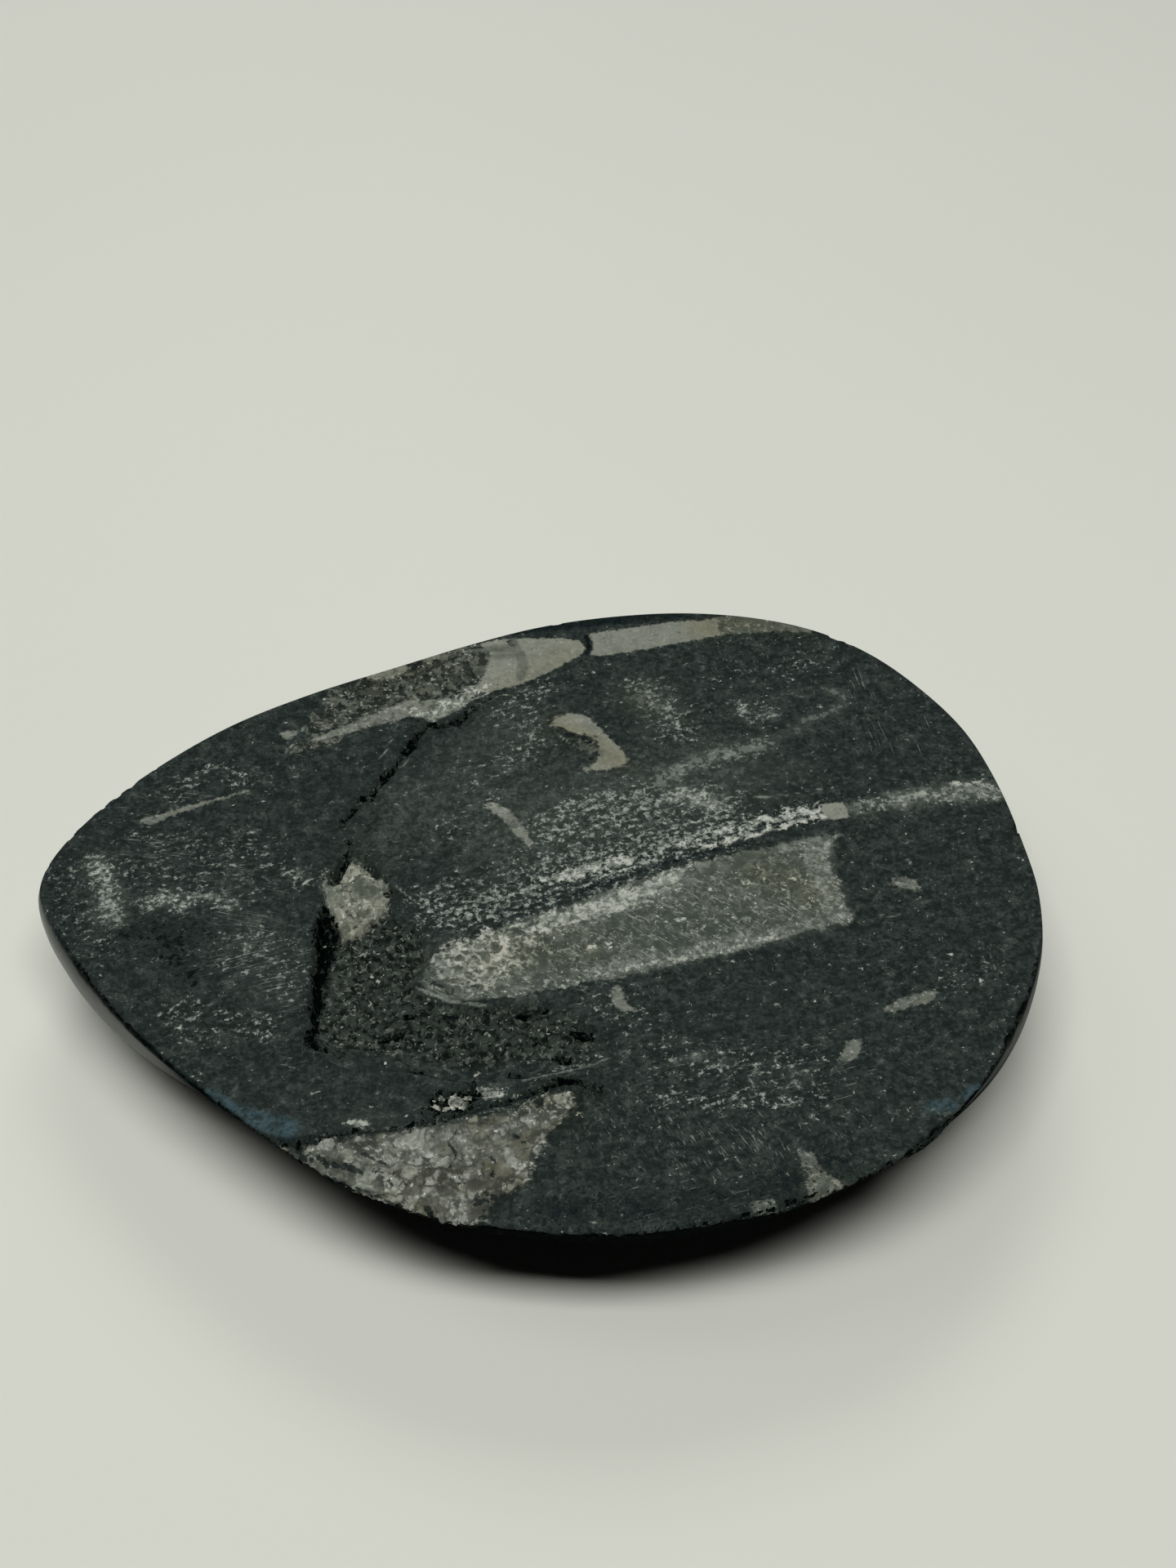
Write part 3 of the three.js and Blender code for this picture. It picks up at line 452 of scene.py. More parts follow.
# Dark gaps and dark ground, and painted shade along the chipped near-left rim.
DARK_GROUND = [
    (0.4, 0.62, [(-2, -3.2), (4, -1), (10, 1.6), (12, 2.5), (15, 3.6), (18, 4.6), (22, 5.8)]),
    (0.7, 0.35, [(22, 6.1), (26, 7.1), (30, 7.9), (34, 8.6)]),
    (0.3, 0.9, [(4.9, 36.6), (5.3, 35), (5, 33.6)]),
    (3.4, 0.4, [(-41, -6.6), (-36, -7.6), (-33, -11)]),
    (0.5, 0.8, [(3, 21.2), (4, 20.8), (6, 20.9)]),
    (0.6, 0.7, [(3.6, 19.8), (5.4, 20)]),
    (0.4, 0.7, [(6, 18.6), (5.6, 17.6)]),
    (0.5, 0.6, [(-24.4, -30.9), (-18.6, -29.9), (-12, -29.2), (-5.4, -27.3), (0.6, -24.9)]),
    (1.2, 0.7, [(-4.6, -36.6), (-3.2, -37)]),
    (0.4, 0.8, [(-9.4, -37.2), (-9, -38)]),
    (0.6, 0.6, [(-21.4, -31.7), (-19.8, -31.9)]),
    (1.8, 0.45, [(-48, 3), (-48.6, 0), (-47, -4)]),
    (1.0, 0.8, [(-3, 37.6), (2, 38.3), (8, 39.4), (16, 40.4)]),
    (1.2, 0.4, [(-8, 26.6), (-5, 28.2)]),
    # Painted shade: the black strip along the chipped near-left rim, here and on the next line.
    (0.5, 0.9, [(-40.6, -15.8), (-35, -21.4), (-29, -26.8), (-25.4, -29.6)]),
    (0.4, 0.6, [(-47.4, -6), (-44, -11), (-40.6, -15.8)]),
    (2.0, 0.3, [(28, -10), (40, -6)]),
    (2.4, 0.3, [(35, 18), (40, 24)]),
    (2.3, 0.52, [(2, -37.6), (12, -37.6), (21, -35.8), (28, -32.8)]),
    (1.0, 0.6, [(-23, -30.4), (-20, -30.6)]),
    (0.5, 0.72, [(-22, -31.8), (-18.5, -32.6), (-15.5, -33.6)]),
    (0.35, 0.72, [(-18, -34.2), (-14.5, -35.8), (-11.5, -37.2)]),
    (0.3, 0.72, [(-15.4, -31.6), (-13, -32.8)]),
    (0.3, 0.7, [(-4.6, -31), (-3.4, -32.4), (-3.6, -34)]),
    (0.25, 0.7, [(-7.6, -30.4), (-6.8, -31.6), (-7.4, -33)]),
    (0.3, 0.6, [(-2, -29.4), (-0.6, -30.6)]),
    (0.8, 0.5, [(-20, -32), (-19.6, -31.6)]),
    (0.6, 0.5, [(-2, -34.6), (-2.6, -36)]),
    (0.5, 0.6, [(-7.6, 33.6), (-7.2, 32)]),
    (1.0, 0.4, [(-14.5, -33), (-12, -35)]),
    (0.8, 0.35, [(-6.8, -32.6), (-6, -35)]),
    (0.5, 0.7, [(-9.8, -12.4), (-8.4, -12.9)]),
    (0.4, 0.6, [(-6.6, -13), (-5.4, -12.7)]),
    (0.35, 0.6, [(-10.3, -10.6), (-10, -11.6)]),
    (0.6, 0.7, [(19, -38.8), (24, -37.6), (31, -34.4)]),
]
# Ragged black crumbs, and painted shadows near the far rim.
BLACK_CRUMBS_AND_SHADE = [
    (1.0, 0.62, [(-42.2, -5.4), (-40.2, -6.6)]),
    (1.7, 0.62, [(-37.8, -5.6), (-36.2, -7.6), (-34.4, -6)]),
    (1.1, 0.5, [(-34, -5.2), (-32.2, -6.4)]),
    (1.5, 0.5, [(-35.4, -9), (-33.6, -11.6)]),
    (1.0, 0.55, [(-9.6, 24.2), (-8.6, 22.6), (-7.2, 25)]),
    (0.8, 0.5, [(-12.6, 22.6), (-10.8, 21.6)]),
    (0.7, 0.5, [(-17.4, 10.4), (-16.8, 9), (-18, 6.6)]),
    (0.5, 0.6, [(-13.4, 23.4), (-12, 22.6)]),
    # Painted shadows near the far rim, here and on the next line.
    (0.4, 0.6, [(-20, 29.2), (-17, 28.9)]),
    (0.4, 0.6, [(-13.4, 30.6), (-11.6, 31.8)]),
    (0.5, 1.0, [(-6.8, 33.4), (-6.6, 32.2)]),
    (0.4, 1.0, [(-3.6, 35.9), (-3.2, 35.2)]),
    (0.4, 1.0, [(5, 36.4), (5.2, 34.8)]),
    (1.0, 0.5, [(-3.6, -15.6), (1.4, -15.8)]),
    (0.9, 0.5, [(4, -17.4), (7, -18.6)]),
    (0.7, 0.5, [(-20, -19.4), (-18.2, -20.6)]),
    (1.0, 0.45, [(5.4, -22.4), (6.6, -25)]),
    (0.5, 0.6, [(-5.4, -24.6), (-5.6, -26.4)]),
    (0.4, 0.6, [(-9.4, -37.2), (-9, -38)]),
    (0.6, 0.5, [(-14.8, -0.6), (-13.6, -2.6)]),
    (0.7, 0.5, [(-8.6, -13.4), (-7, -12.6)]),
    (0.5, 0.5, [(-10.4, -12), (-9.4, -10.8)]),
]
# Polish left on the rim, with a painted bluish sheen laid into its colour.
BLUE_SHEEN = [
    (1.0, 0.95, [(-25.6, -28.1), (-23.8, -28.8), (-22.2, -29.2)]),
    (0.6, 0.6, [(-30, -25.2), (-27.8, -26.6), (-26, -27.8)]),
    (0.8, 0.7, [(36.8, -26.8), (38.6, -26.6)]),
    (0.6, 0.6, [(40, -25.6), (41.4, -24.6)]),
]
# Grinding scratches: (half width, strength, corners), by the way they run.
FLAT_SCRATCHES = [
    (3.0, 0.9, [(-29.6, -5), (-26, -6.4)]),
    (4.8, 0.75, [(-40, 5.4), (-34, 3), (-30, 0)]),
    (3.2, 0.5, [(-44, 8), (-38, 12)]),
]
STEEP_SCRATCHES = [
    (4.5, 0.95, [(12, -30), (17, -32), (20, -30)]),
    (3.2, 0.8, [(8, -26), (6.6, -30)]),
    (3.0, 0.6, [(24, -28), (28, -29)]),
    (3.4, 0.5, [(20, 33), (24, 34), (18, 30)]),
]
UPRIGHT_SCRATCHES = [
    (2.0, 0.9, [(35, 30), (36.4, 24), (37, 20)]),
    (3.0, 0.4, [(40, 28), (42, 20)]),
]
SLANT_SCRATCHES = [
    (4.6, 0.75, [(5, -5), (14, -2), (22, -1)]),
    (4.0, 0.5, [(18, -5), (26, -3)]),
]
RAKED_SCRATCHES = [
    (4.2, 1.0, [(-30, -9.6), (-26.6, -10), (-24.4, -12.6)]),
    (4.4, 0.5, [(10, -24), (20, -24), (28, -23)]),
    (3.0, 0.5, [(8, -37), (20, -36)]),
    (5.0, 0.35, [(-6, -3), (4, 1), (12, 4)]),
]

# Sawn shells that show on the polished underside: (tone, outline).
UNDERSIDE_SHELLS = {
    "long cone": (0.72, [
        (-24, 9), (-8, 7.4), (8, 4.6), (22, 1.4), (30, -1), (31, 2), (31.4, 6.4), (24, 8.6),
        (10, 11.2), (-6, 12),
    ]),
    "small cone": (0.6, [(-10, -14), (2, -17), (14, -21), (16, -17.6), (4, -13.8)]),
    "coiled shell": (0.66, [(20, -10), (24, -8.6), (27.4, -10.6), (26.6, -14), (22.6, -14.6)]),
    "sliver": (0.5, [(-34, -4), (-28, -6.4), (-27.6, -5.4), (-33, -2.8)]),
    "far cone": (0.6, [(0, 21), (14, 22.6), (26, 21.6), (26.6, 24.6), (13, 25.2)]),
}

# ---- plan geometry -----------------------------------------------------------


def smooth(t):
    """Eases from 0 to 1 as t goes from 0 to 1, and stays there."""
    t = np.clip(t, 0, 1)
    return t * t * (3 - 2 * t)


def smooth_loop(corners, steps):
    """Points of the closed Catmull-Rom curve through the corners, so many from one to the next."""
    here = np.array(corners, float)
    p0, p1, p2, p3 = (np.roll(here, k, 0)[:, None, :] for k in (1, 0, -1, -2))
    t = (np.arange(steps) / steps)[None, :, None]
    bend = 2 * p0 - 5 * p1 + 4 * p2 - p3 + t * (3 * (p1 - p2) + p3 - p0)
    return (p1 + 0.5 * t * (p2 - p0 + t * bend)).reshape(-1, 2)


def near_line(x, y, corners):
    """Distance to a run of straight lines, and how many corners along it the nearest place is."""
    nearest = np.full(x.shape, np.inf)
    place = np.zeros(x.shape)
    for i in range(len(corners) - 1):
        ax, ay = corners[i][:2]
        dx, dy = corners[i + 1][0] - ax, corners[i + 1][1] - ay
        t = np.clip(((x - ax) * dx + (y - ay) * dy) / (dx * dx + dy * dy), 0, 1)
        gap = np.hypot(x - ax - t * dx, y - ay - t * dy)
        closer = gap < nearest
        nearest = np.where(closer, gap, nearest)
        place = np.where(closer, i + t, place)
    return nearest, place


def depth_inside(x, y, outline):
    """How far inside a closed outline each place is. It is negative outside."""
    closed = list(outline) + [outline[0]]
    edge, _ = near_line(x, y, closed)
    inside = np.zeros(x.shape, bool)
    for (ax, ay), (bx, by) in zip(closed, closed[1:]):
        if ay != by:
            inside ^= ((ay > y) != (by > y)) & (x < (bx - ax) * (y - ay) / (by - ay) + ax)
    return np.where(inside, edge, -edge)


# ---- repeatable roughness ----------------------------------------------------


def chance(ix, iy, seed):
    """A repeatable random number from 0 to 1 for each whole-number place."""
    h = ix.astype(np.int64) * 374761393 + iy.astype(np.int64) * 668265263 + seed * 974634777
    h &= 0xFFFFFFFF
    h = ((h ^ (h >> 13)) * 1274126177) & 0xFFFFFFFF
    return ((h ^ (h >> 16)) & 0xFFFF) / 65535.0


def waves(x, y, size, seed):
    """Smooth random waves from -1 to 1, about `size` across."""
    ix, iy = np.floor(x / size), np.floor(y / size)
    tx, ty = smooth(x / size - ix), smooth(y / size - iy)
    near = chance(ix, iy, seed) * (1 - tx) + chance(ix + 1, iy, seed) * tx
    far = chance(ix, iy + 1, seed) * (1 - tx) + chance(ix + 1, iy + 1, seed) * tx
    return (near * (1 - ty) + far * ty) * 2 - 1


def rough(x, y, size, seed, octaves=3):
    """Waves with finer and finer waves on them, from -1 to 1."""
    layers = [waves(x, y, size / 2**k, seed + k) / 2**k for k in range(octaves)]
    return sum(layers) / sum(0.5**k for k in range(octaves))


def grains(x, y, size, seed):
    """The nearest of scattered grains: distance to its middle, gap to the next, its random
    number, and the way from its middle."""
    gx, gy = x / size, y / size
    ix, iy = np.floor(gx), np.floor(gy)
    first = np.full(x.shape, np.inf)
    second = np.full(x.shape, np.inf)
    number, away_x, away_y = (np.zeros(x.shape) for _ in range(3))
    for dx in (-1, 0, 1):
        for dy in (-1, 0, 1):
            cx, cy = ix + dx, iy + dy
            ox = gx - cx - chance(cx, cy, seed)
            oy = gy - cy - chance(cx, cy, seed + 1)
            gap = np.hypot(ox, oy)
            closer = gap < first
            second = np.where(closer, first, np.minimum(second, gap))
            number = np.where(closer, chance(cx, cy, seed + 2), number)
            away_x, away_y = np.where(closer, ox, away_x), np.where(closer, oy, away_y)
            first = np.where(closer, gap, first)
    return first * size, (second - first) * size, number, away_x * size, away_y * size


def facets(x, y, size, seed, tilt=0.5):
    """Flat broken faces at random levels and tilts, from about -1 to 1."""
    _, _, number, away_x, away_y = grains(x, y, size, seed)
    turn = number * 97
    lean = (np.cos(turn) * away_x + np.sin(turn) * away_y) / size
    return (number * 2 - 1) * (1 - tilt) + lean * 2 * tilt


# ---- relief of the ground face -----------------------------------------------


def crack_depth(x, y, corners, seed):
    """Depth of a ragged crack with steep sides."""
    gap, place = near_line(x, y, corners)
    steps = np.arange(len(corners))
    half = np.interp(place, steps, [c[2] for c in corners]) / 2
    depth = np.interp(place, steps, [c[3] for c in corners])
    ragged = half * (1.15 + 0.75 * rough(x, y, 0.9, seed))
    return depth * smooth(1.5 * (1 - gap / np.maximum(ragged, 0.05)))


def pit_reach(x, y, pit):
    """How far out in a pit each place is: 0 in its middle and 1 on its edge."""
    px, py, length, width, _, heading = pit
    turn = math.radians(heading)
    along = (x - px) * math.cos(turn) + (y - py) * math.sin(turn)
    across = (y - py) * math.cos(turn) - (x - px) * math.sin(turn)
    return np.hypot(along / (length / 2), across / (width / 2))


def pit_depth(x, y, pit, seed):
    """Depth of a pit with steep, ragged sides."""
    return pit[4] * smooth(1.6 * (1 - pit_reach(x, y, pit) - 0.5 * rough(x, y, 0.7, seed)))


def hollow_relief(x, y):
    """Depth of the broken hollow and how far inside it each place is."""
    shift = 0.5 * rough(x, y, 2.2, 31), 0.5 * rough(x, y, 2.2, 41)
    inside = depth_inside(x + shift[0], y + shift[1], HOLLOW)
    across = np.clip((x + 21) / 20, 0, 1)
    full = 1.35 - 0.85 * across
    slope = 0.32 + (1.88 - 1.75 * across) * smooth((y + 20.5) / 4)
    fracture = 0.26 * facets(x, y, 2.3, 51) + 0.2 * facets(x, y, 0.95, 61)
    fracture = fracture + 0.12 * rough(x, y, 0.6, 71)
    floor = np.minimum(full, 0.1 + inside * slope) + fracture * smooth(inside / 0.8)
    return np.where(inside > 0, np.maximum(floor, 0.03), 0), inside


def patch_relief(x, y):
    """Depth of the coarse calcite at the near rim, which broke out as rounded lumps."""
    shift = 0.5 * rough(x, y, 1.8, 81), 0.5 * rough(x, y, 1.8, 91)
    inside = depth_inside(x + shift[0], y + shift[1], CALCITE_PATCH)
    middle, gap, number, _, _ = grains(x, y, 1.7, 101)
    lumps = 0.1 + 0.42 * number + 0.28 * smooth(middle / 1.3) + 0.22 * (1 - smooth(gap / 0.3))
    fine = 0.14 * facets(x, y, 0.7, 111) + 0.06 * rough(x, y, 0.5, 121)
    return np.where(inside > 0, np.maximum((lumps + fine) * smooth(inside / 0.9), 0), 0), inside


def cluster_relief(x, y):
    """Depth of the calcite crystals that fill the top of the hollow."""
    inside = depth_inside(x + 0.25 * rough(x, y, 1.1, 131), y, CRYSTAL_CLUSTER)
    _, gap, number, away_x, away_y = grains(x, y, 1.8, 141)
    lean = (away_x * np.cos(number * 61) + away_y * np.sin(number * 61)) * 0.22
    blocks = 0.16 + 0.4 * number + lean + 0.25 * (1 - smooth(gap / 0.22))
    lens = np.hypot((x + 17.6) / 1.7, (y + 0.4) / 1.9)
    blocks = np.where(lens < 1, 0.08 + 0.3 * lens**3, blocks)
    return np.maximum(blocks, 0.02), inside


def crack_marks(x, y):
    """Painted shade in the cracks and pits: 1 along their middle, fading to 0 beyond their edges.
    """
    field = np.zeros(x.shape)
    for crack, least in ((UPPER_CRACK, 0.26), (LEDGE_CRACK, 0.13), (PATCH_GROOVE, 0.13)):
        gap, place = near_line(x, y, crack)
        steps = np.arange(len(crack))
        half = np.interp(place, steps, [c[2] / 2 for c in crack])
        share = np.interp(place, steps, [min(1, least + 0.62 * c[3]) for c in crack])
        field = np.maximum(field, share * np.clip(1.25 - 0.65 * gap / half, 0, 1))
    for pit in PITS:
        share = min(1, 0.4 + 0.5 * pit[4])
        field = np.maximum(field, share * np.clip(1.2 - 0.7 * pit_reach(x, y, pit), 0, 1))
    return field


def face_relief(x, y):
    """Depth below the ground face, and how broken the surface is, from 0 to 1."""
    depth, hollow = hollow_relief(x, y)
    broken = smooth(hollow / (0.6 + 2.6 * smooth((-17 - y) / 4)))
    patch, patch_inside = patch_relief(x, y)
    depth = np.maximum(depth, patch)
    for k, crack in enumerate((UPPER_CRACK, LEDGE_CRACK, PATCH_GROOVE)):
        cut = crack_depth(x, y, crack, 151 + 10 * k)
        depth = np.maximum(depth, cut)
        broken = np.maximum(broken, smooth(cut / 0.3))
    for k, pit in enumerate(PITS):
        cut = pit_depth(x, y, pit, 181 + 10 * k)
        depth = np.where(hollow > 0.3, depth + 0.75 * cut, np.maximum(depth, cut))
        broken = np.maximum(broken, smooth(cut / 0.3))
    blocks, cluster = cluster_relief(x, y)
    crystal = smooth(cluster / 0.25)
    depth = depth * (1 - crystal) + np.minimum(blocks, np.maximum(depth, 0.35)) * crystal
    broken = np.maximum(broken * (1 - crystal), 0.6 * smooth(patch_inside / 0.5))
    swell = 0.02 + 0.02 * rough(x, y, 16, 351, 2)
    return depth + swell, broken


# ---- the stone's mesh --------------------------------------------------------


def crowded(count, at, width, boost):
    """Grid lines from -1 to 1, closer together near `at`."""
    t = np.linspace(-1, 1, 4001)
    crowd = np.cumsum(1 + boost * np.exp(-(((t - at) / width) ** 2)))
    crowd = (crowd - crowd[0]) / (crowd[-1] - crowd[0])
    return np.interp(np.linspace(0, 1, count + 1), crowd, t)


def disc_grid(columns, rows):
    """A square grid bent to fill a disc: each corner's distance from the middle and direction."""
    u, v = np.meshgrid(columns, rows)
    x, y = u * np.sqrt(1 - v * v / 2), v * np.sqrt(1 - u * u / 2)
    return np.hypot(x, y).ravel(), np.arctan2(y, x).ravel()


def grid_quads(count, first, upwards):
    """The faces of a square grid, facing up or down."""
    wide = count + 1
    r, c = np.meshgrid(np.arange(count), np.arange(count), indexing="ij")
    a = (first + r * wide + c).ravel()
    quads = np.stack([a, a + 1, a + wide + 1, a + wide], 1)
    return quads if upwards else quads[:, ::-1]


def grid_border(count):
    """The grid's border corners, anticlockwise from above."""
    wide, n = count + 1, np.arange(count)
    return np.concatenate([n, n * wide + count, count * wide + count - n, (count - n) * wide])


def outward_of(loop):
    """Unit vectors that point out of a closed anticlockwise loop."""
    along = np.roll(loop, -1, 0) - np.roll(loop, 1, 0)
    along /= np.hypot(*along.T)[:, None]
    return np.column_stack([along[:, 1], -along[:, 0]])


def stand_out(rim, outward, swell, depth):
    """How far the side stands out from the rim at a depth. The near side falls in instead."""
    end = np.where(outward[:, 0] < 0, END_SWELL, RIGHT_SWELL)
    full = SIDE_SWELL + (end - SIDE_SWELL) * outward[:, 0] ** 2
    near = smooth((rim[:, 0] + 46) / 18) * (1 - smooth((rim[:, 0] - 36) / 12)) * (rim[:, 1] < 0)
    return full * swell - NEAR_LEAN * (1 - math.exp(-depth / NEAR_LEAN_RUN)) * near


def edge_reach(outline, direction):
    """Distance from the stone's middle to the outline in each direction."""
    away = outline - STONE_CENTRE
    turn = np.arctan2(away[:, 1], away[:, 0])
    order = np.argsort(turn)
    return np.interp(direction, turn[order], np.hypot(*away.T)[order], period=2 * math.pi)


def dome_height(scale):
    """Height of the domed underside where its plan has shrunk to this scale."""
    drop = (1 - np.clip(scale, FOOT_SCALE, 1) ** DOME_POWER) ** (1 / DOME_POWER)
    foot_drop = (1 - FOOT_SCALE**DOME_POWER) ** (1 / DOME_POWER)
    return GIRDLE_Z * (1 - drop / foot_drop)


def rim_chips():
    """Each chip's middle on the rim, the way along the rim there, its radii and its seed."""
    loop = smooth_loop(FACE_OUTLINE, RIM_STEPS)
    for run, (start, stop, chips, length, bite, depth) in enumerate(RIM_CHIP_RUNS):
        for i in range(chips):
            draw = np.random.default_rng(run * 100 + i).random(4)
            u = start + (i + 0.5 + 0.6 * (draw[0] - 0.5)) * (stop - start) / chips
            k = int(u * len(loop)) % len(loop)
            along = loop[(k + 8) % len(loop)] - loop[k - 8]
            size = 0.65 + 0.7 * draw[1]
            radii = np.array([length / 2, bite, depth]) * size
            yield loop[k], along / np.hypot(*along), radii, 401 + i


def way_out(p, d):
    """How many times d leads from p to the unit sphere. It is 0 where p is outside."""
    a, b, c = (d * d).sum(1), (p * d).sum(1), (p * p).sum(1) - 1
    return np.where(c < 0, (-b + np.sqrt(np.maximum(b * b - a * c, 0))) / a, 0)


def chip_rim(points, normals, rim):
    """Pushes what lies inside each chip of the rim back along its normal, out of the chip."""
    for middle, (east, north), reach, seed in rim_chips():
        away = points[rim] - np.array([*middle, FACE_Z])
        near = np.abs(away).max(1) < reach.max() * 1.3
        spots, away = rim[near], away[near]
        turned = np.array([[east, north, 0], [north, -east, 0], [0, 0, 1]])
        wander = points[spots, 0], points[spots, 1] + points[spots, 2]
        radii = reach * (1 + 0.35 * rough(*wander, 0.6, seed))[:, None]
        out = way_out(away @ turned.T / radii, -(normals[spots] @ turned.T) / radii)
        points[spots] -= normals[spots] * np.minimum(out, DEEPEST_CHIP)[:, None]
    return points


# Rings from the rim to the girdle: (mm below the face, mm out from the rim, share of the swell).
SIDE_RINGS = [
    (0, -0.18, 0), (0.035, -0.07, 0), (0.105, -0.02, 0.04), (0.245, 0, 0.12), (0.525, 0, 0.28),
    (0.98, 0, 0.5), (1.6, 0, 0.76), (2.45, 0, 0.93), (3.5, 0, 1),
]
RIM_OUT = SIDE_RINGS[0][1]


def ground_face(outline, share, direction):
    """The ground face's points, and how broken the surface is at each."""
    aim = np.stack([np.cos(direction), np.sin(direction)], 1)
    reach = edge_reach(outline, direction) + RIM_OUT
    plan = STONE_CENTRE + aim * (share * reach)[:, None]
    depth, broken = face_relief(plan[:, 0], plan[:, 1])
    return np.column_stack([plan, FACE_Z - depth]), broken


def side_rings(rim, outward):
    """The points of the rings below the rim, and their normals."""
    rings, normals = [], []
    for depth, out, swell in SIDE_RINGS[1:]:
        offset = out - RIM_OUT + stand_out(rim, outward, swell, depth)
        z = np.minimum(rim[:, 2], FACE_Z - depth)
        rings.append(np.column_stack([rim[:, :2] + outward * offset[:, None], z]))
        up = 0.8 * max(0.0, 1 - depth / 0.25)
        normals.append(np.column_stack([outward * math.sqrt(1 - up * up), np.full(len(z), up)]))
    return np.concatenate(rings), np.concatenate(normals)


def underside(outline, share, direction):
    """The points of the domed underside, and the place on the outline in each one's direction."""
    scale = np.sin(share * 0.99 * math.pi / 2)
    levels = np.linspace(0, GIRDLE_Z, 9)
    out_of_rim = outward_of(outline)
    swells = [stand_out(outline, out_of_rim, 1, FACE_Z - z)[:, None] for z in levels]
    reaches = np.array([edge_reach(outline + out_of_rim * swell, direction) for swell in swells])
    z = dome_height(scale)
    level = np.clip(z / levels[1], 0, len(levels) - 1.001)
    low, each = level.astype(int), np.arange(len(scale))
    reach = reaches[low, each] * (1 - level + low) + reaches[low + 1, each] * (level - low)
    aim = np.stack([np.cos(direction), np.sin(direction)], 1)
    plan = STONE_CENTRE + aim * (scale * reach)[:, None]
    dent = 0.012 * (1 + rough(plan[:, 0], plan[:, 1], 17, 501, 2)) * smooth((1 - scale) * 4)
    plan = STONE_CENTRE + (plan - STONE_CENTRE) * (1 - dent)[:, None]
    on_outline = STONE_CENTRE + aim * edge_reach(outline, direction)[:, None]
    return np.column_stack([plan, z]), on_outline


def side_quads(loops):
    """The faces between loops of equal length, each below the one before."""
    pairs = zip(loops, loops[1:])
    return [np.stack([low, np.roll(low, -1), np.roll(top, -1), top], 1) for top, low in pairs]


def halving_triangles(loop, under_loop):
    """The faces from a loop down to one with half as many corners."""
    a, b, c = loop[::2], loop[1::2], np.roll(loop, -2)[::2]
    low_a, low_b = under_loop, np.roll(under_loop, -1)
    return np.concatenate([
        np.stack([low_a, b, a], 1), np.stack([low_a, low_b, b], 1), np.stack([low_b, c, b], 1),
    ])


class StoneShape:
    """The stone's points and faces, and what its markings are worked out from.

    For each point it has `plan`, where on the face it reads its markings, `below`, its depth,
    `under` and `on_side`, which part it belongs to, and `broken` and `crack`, from 0 to 1.
    """

    def __init__(self):
        columns = crowded(FACE_CELLS, -0.28, 0.34, 0.8)
        rows = crowded(FACE_CELLS, -0.42, 0.42, 0.7)
        outline = smooth_loop(FACE_OUTLINE, RIM_STEPS)
        share, direction = disc_grid(columns, rows)
        face, broken = ground_face(outline, share, direction)
        border = grid_border(FACE_CELLS)
        rim = face[border]
        outward = outward_of(rim[:, :2])
        side, side_normals = side_rings(rim, outward)
        under, above_under = underside(outline, *disc_grid(columns[::2], rows[::2]))

        first_side, first_under = len(face), len(face) + len(side)
        side_points = np.arange(first_side, first_under)
        loops = [border, *side_points.reshape(-1, len(border))]
        half = FACE_CELLS // 2
        grids = grid_quads(FACE_CELLS, 0, True), grid_quads(half, first_under, False)
        self.quads = np.concatenate([*grids, *side_quads(loops)])
        self.triangles = halving_triangles(loops[-1], first_under + grid_border(half))

        points = np.concatenate([face, side, under])
        normals = np.zeros_like(points)
        normals[:first_side, 2] = 1
        normals[first_side:first_under] = side_normals
        normals[border] = np.column_stack([outward * 0.5, np.full(len(border), 0.866)])
        near_rim = np.concatenate([np.flatnonzero(share > 0.93), side_points])
        self.points = np.clip(chip_rim(points, normals, near_rim), STONE_LOW, STONE_HIGH)

        rings = SIDE_RINGS[1:]
        self.plan = np.concatenate([face[:, :2], np.tile(rim[:, :2], (len(rings), 1)), above_under])
        side_drop = np.repeat([depth for depth, _, _ in rings], len(border))
        under_drop = UNDER_DROP + FACE_Z - under[:, 2]
        self.below = np.concatenate([np.zeros(len(face)), side_drop, under_drop])
        self.under = np.arange(len(points)) >= first_under
        off_face = np.zeros(len(side) + len(under))
        self.on_side = np.concatenate([np.zeros(first_side), off_face + 1])
        self.broken = np.concatenate([broken, off_face])
        self.crack = np.concatenate([crack_marks(*face[:, :2].T), off_face])

    def mesh(self, name):
        """The shape as a smooth-shaded mesh, in metres."""
        made = bpy.data.meshes.new(name)
        faces = self.quads.tolist() + self.triangles.tolist()
        made.from_pydata((self.points * MM).tolist(), [], faces)
        made.polygons.foreach_set("use_smooth", np.ones(len(faces), bool))
        made.update()
        return made


# ---- markings as numbers on the mesh -----------------------------------------

SCRATCH_FAMILIES = {      # heading in degrees, length and width of the lines
    "flat_scratches": (-10, 2.4, 0.13),
    "steep_scratches": (-62, 1.0, 0.15),
    "upright_scratches": (-78, 3.4, 0.14),
    "slant_scratches": (-34, 2.2, 0.13),
    "raked_scratches": (17, 2.6, 0.13),
}
SOFT_MARKS = {
    "cream": CREAM_STREAKS, "specks": SPECKLED_GROUND, "clouds": CLOUDS, "threads": THREADS,
    "veils": VEILS, "greys": GREY_ZONES, "mottled": MOTTLED, "lumps": LUMPS,
    "tan": TAN_STAINS, "dark_and_shade": BLACK_CRUMBS_AND_SHADE, "dark": DARK_GROUND, "blue": BLUE_SHEEN,
    "flat_scratches": FLAT_SCRATCHES, "steep_scratches": STEEP_SCRATCHES,
    "upright_scratches": UPRIGHT_SCRATCHES, "slant_scratches": SLANT_SCRATCHES,
    "raked_scratches": RAKED_SCRATCHES,
}
MARK_NAMES = [
    *SOFT_MARKS, "cone", "shells", "shell_tone", "coarse_calcite", "crystals", "crack", "broken",
    "polish", "gloss", "shade", "edge",
]


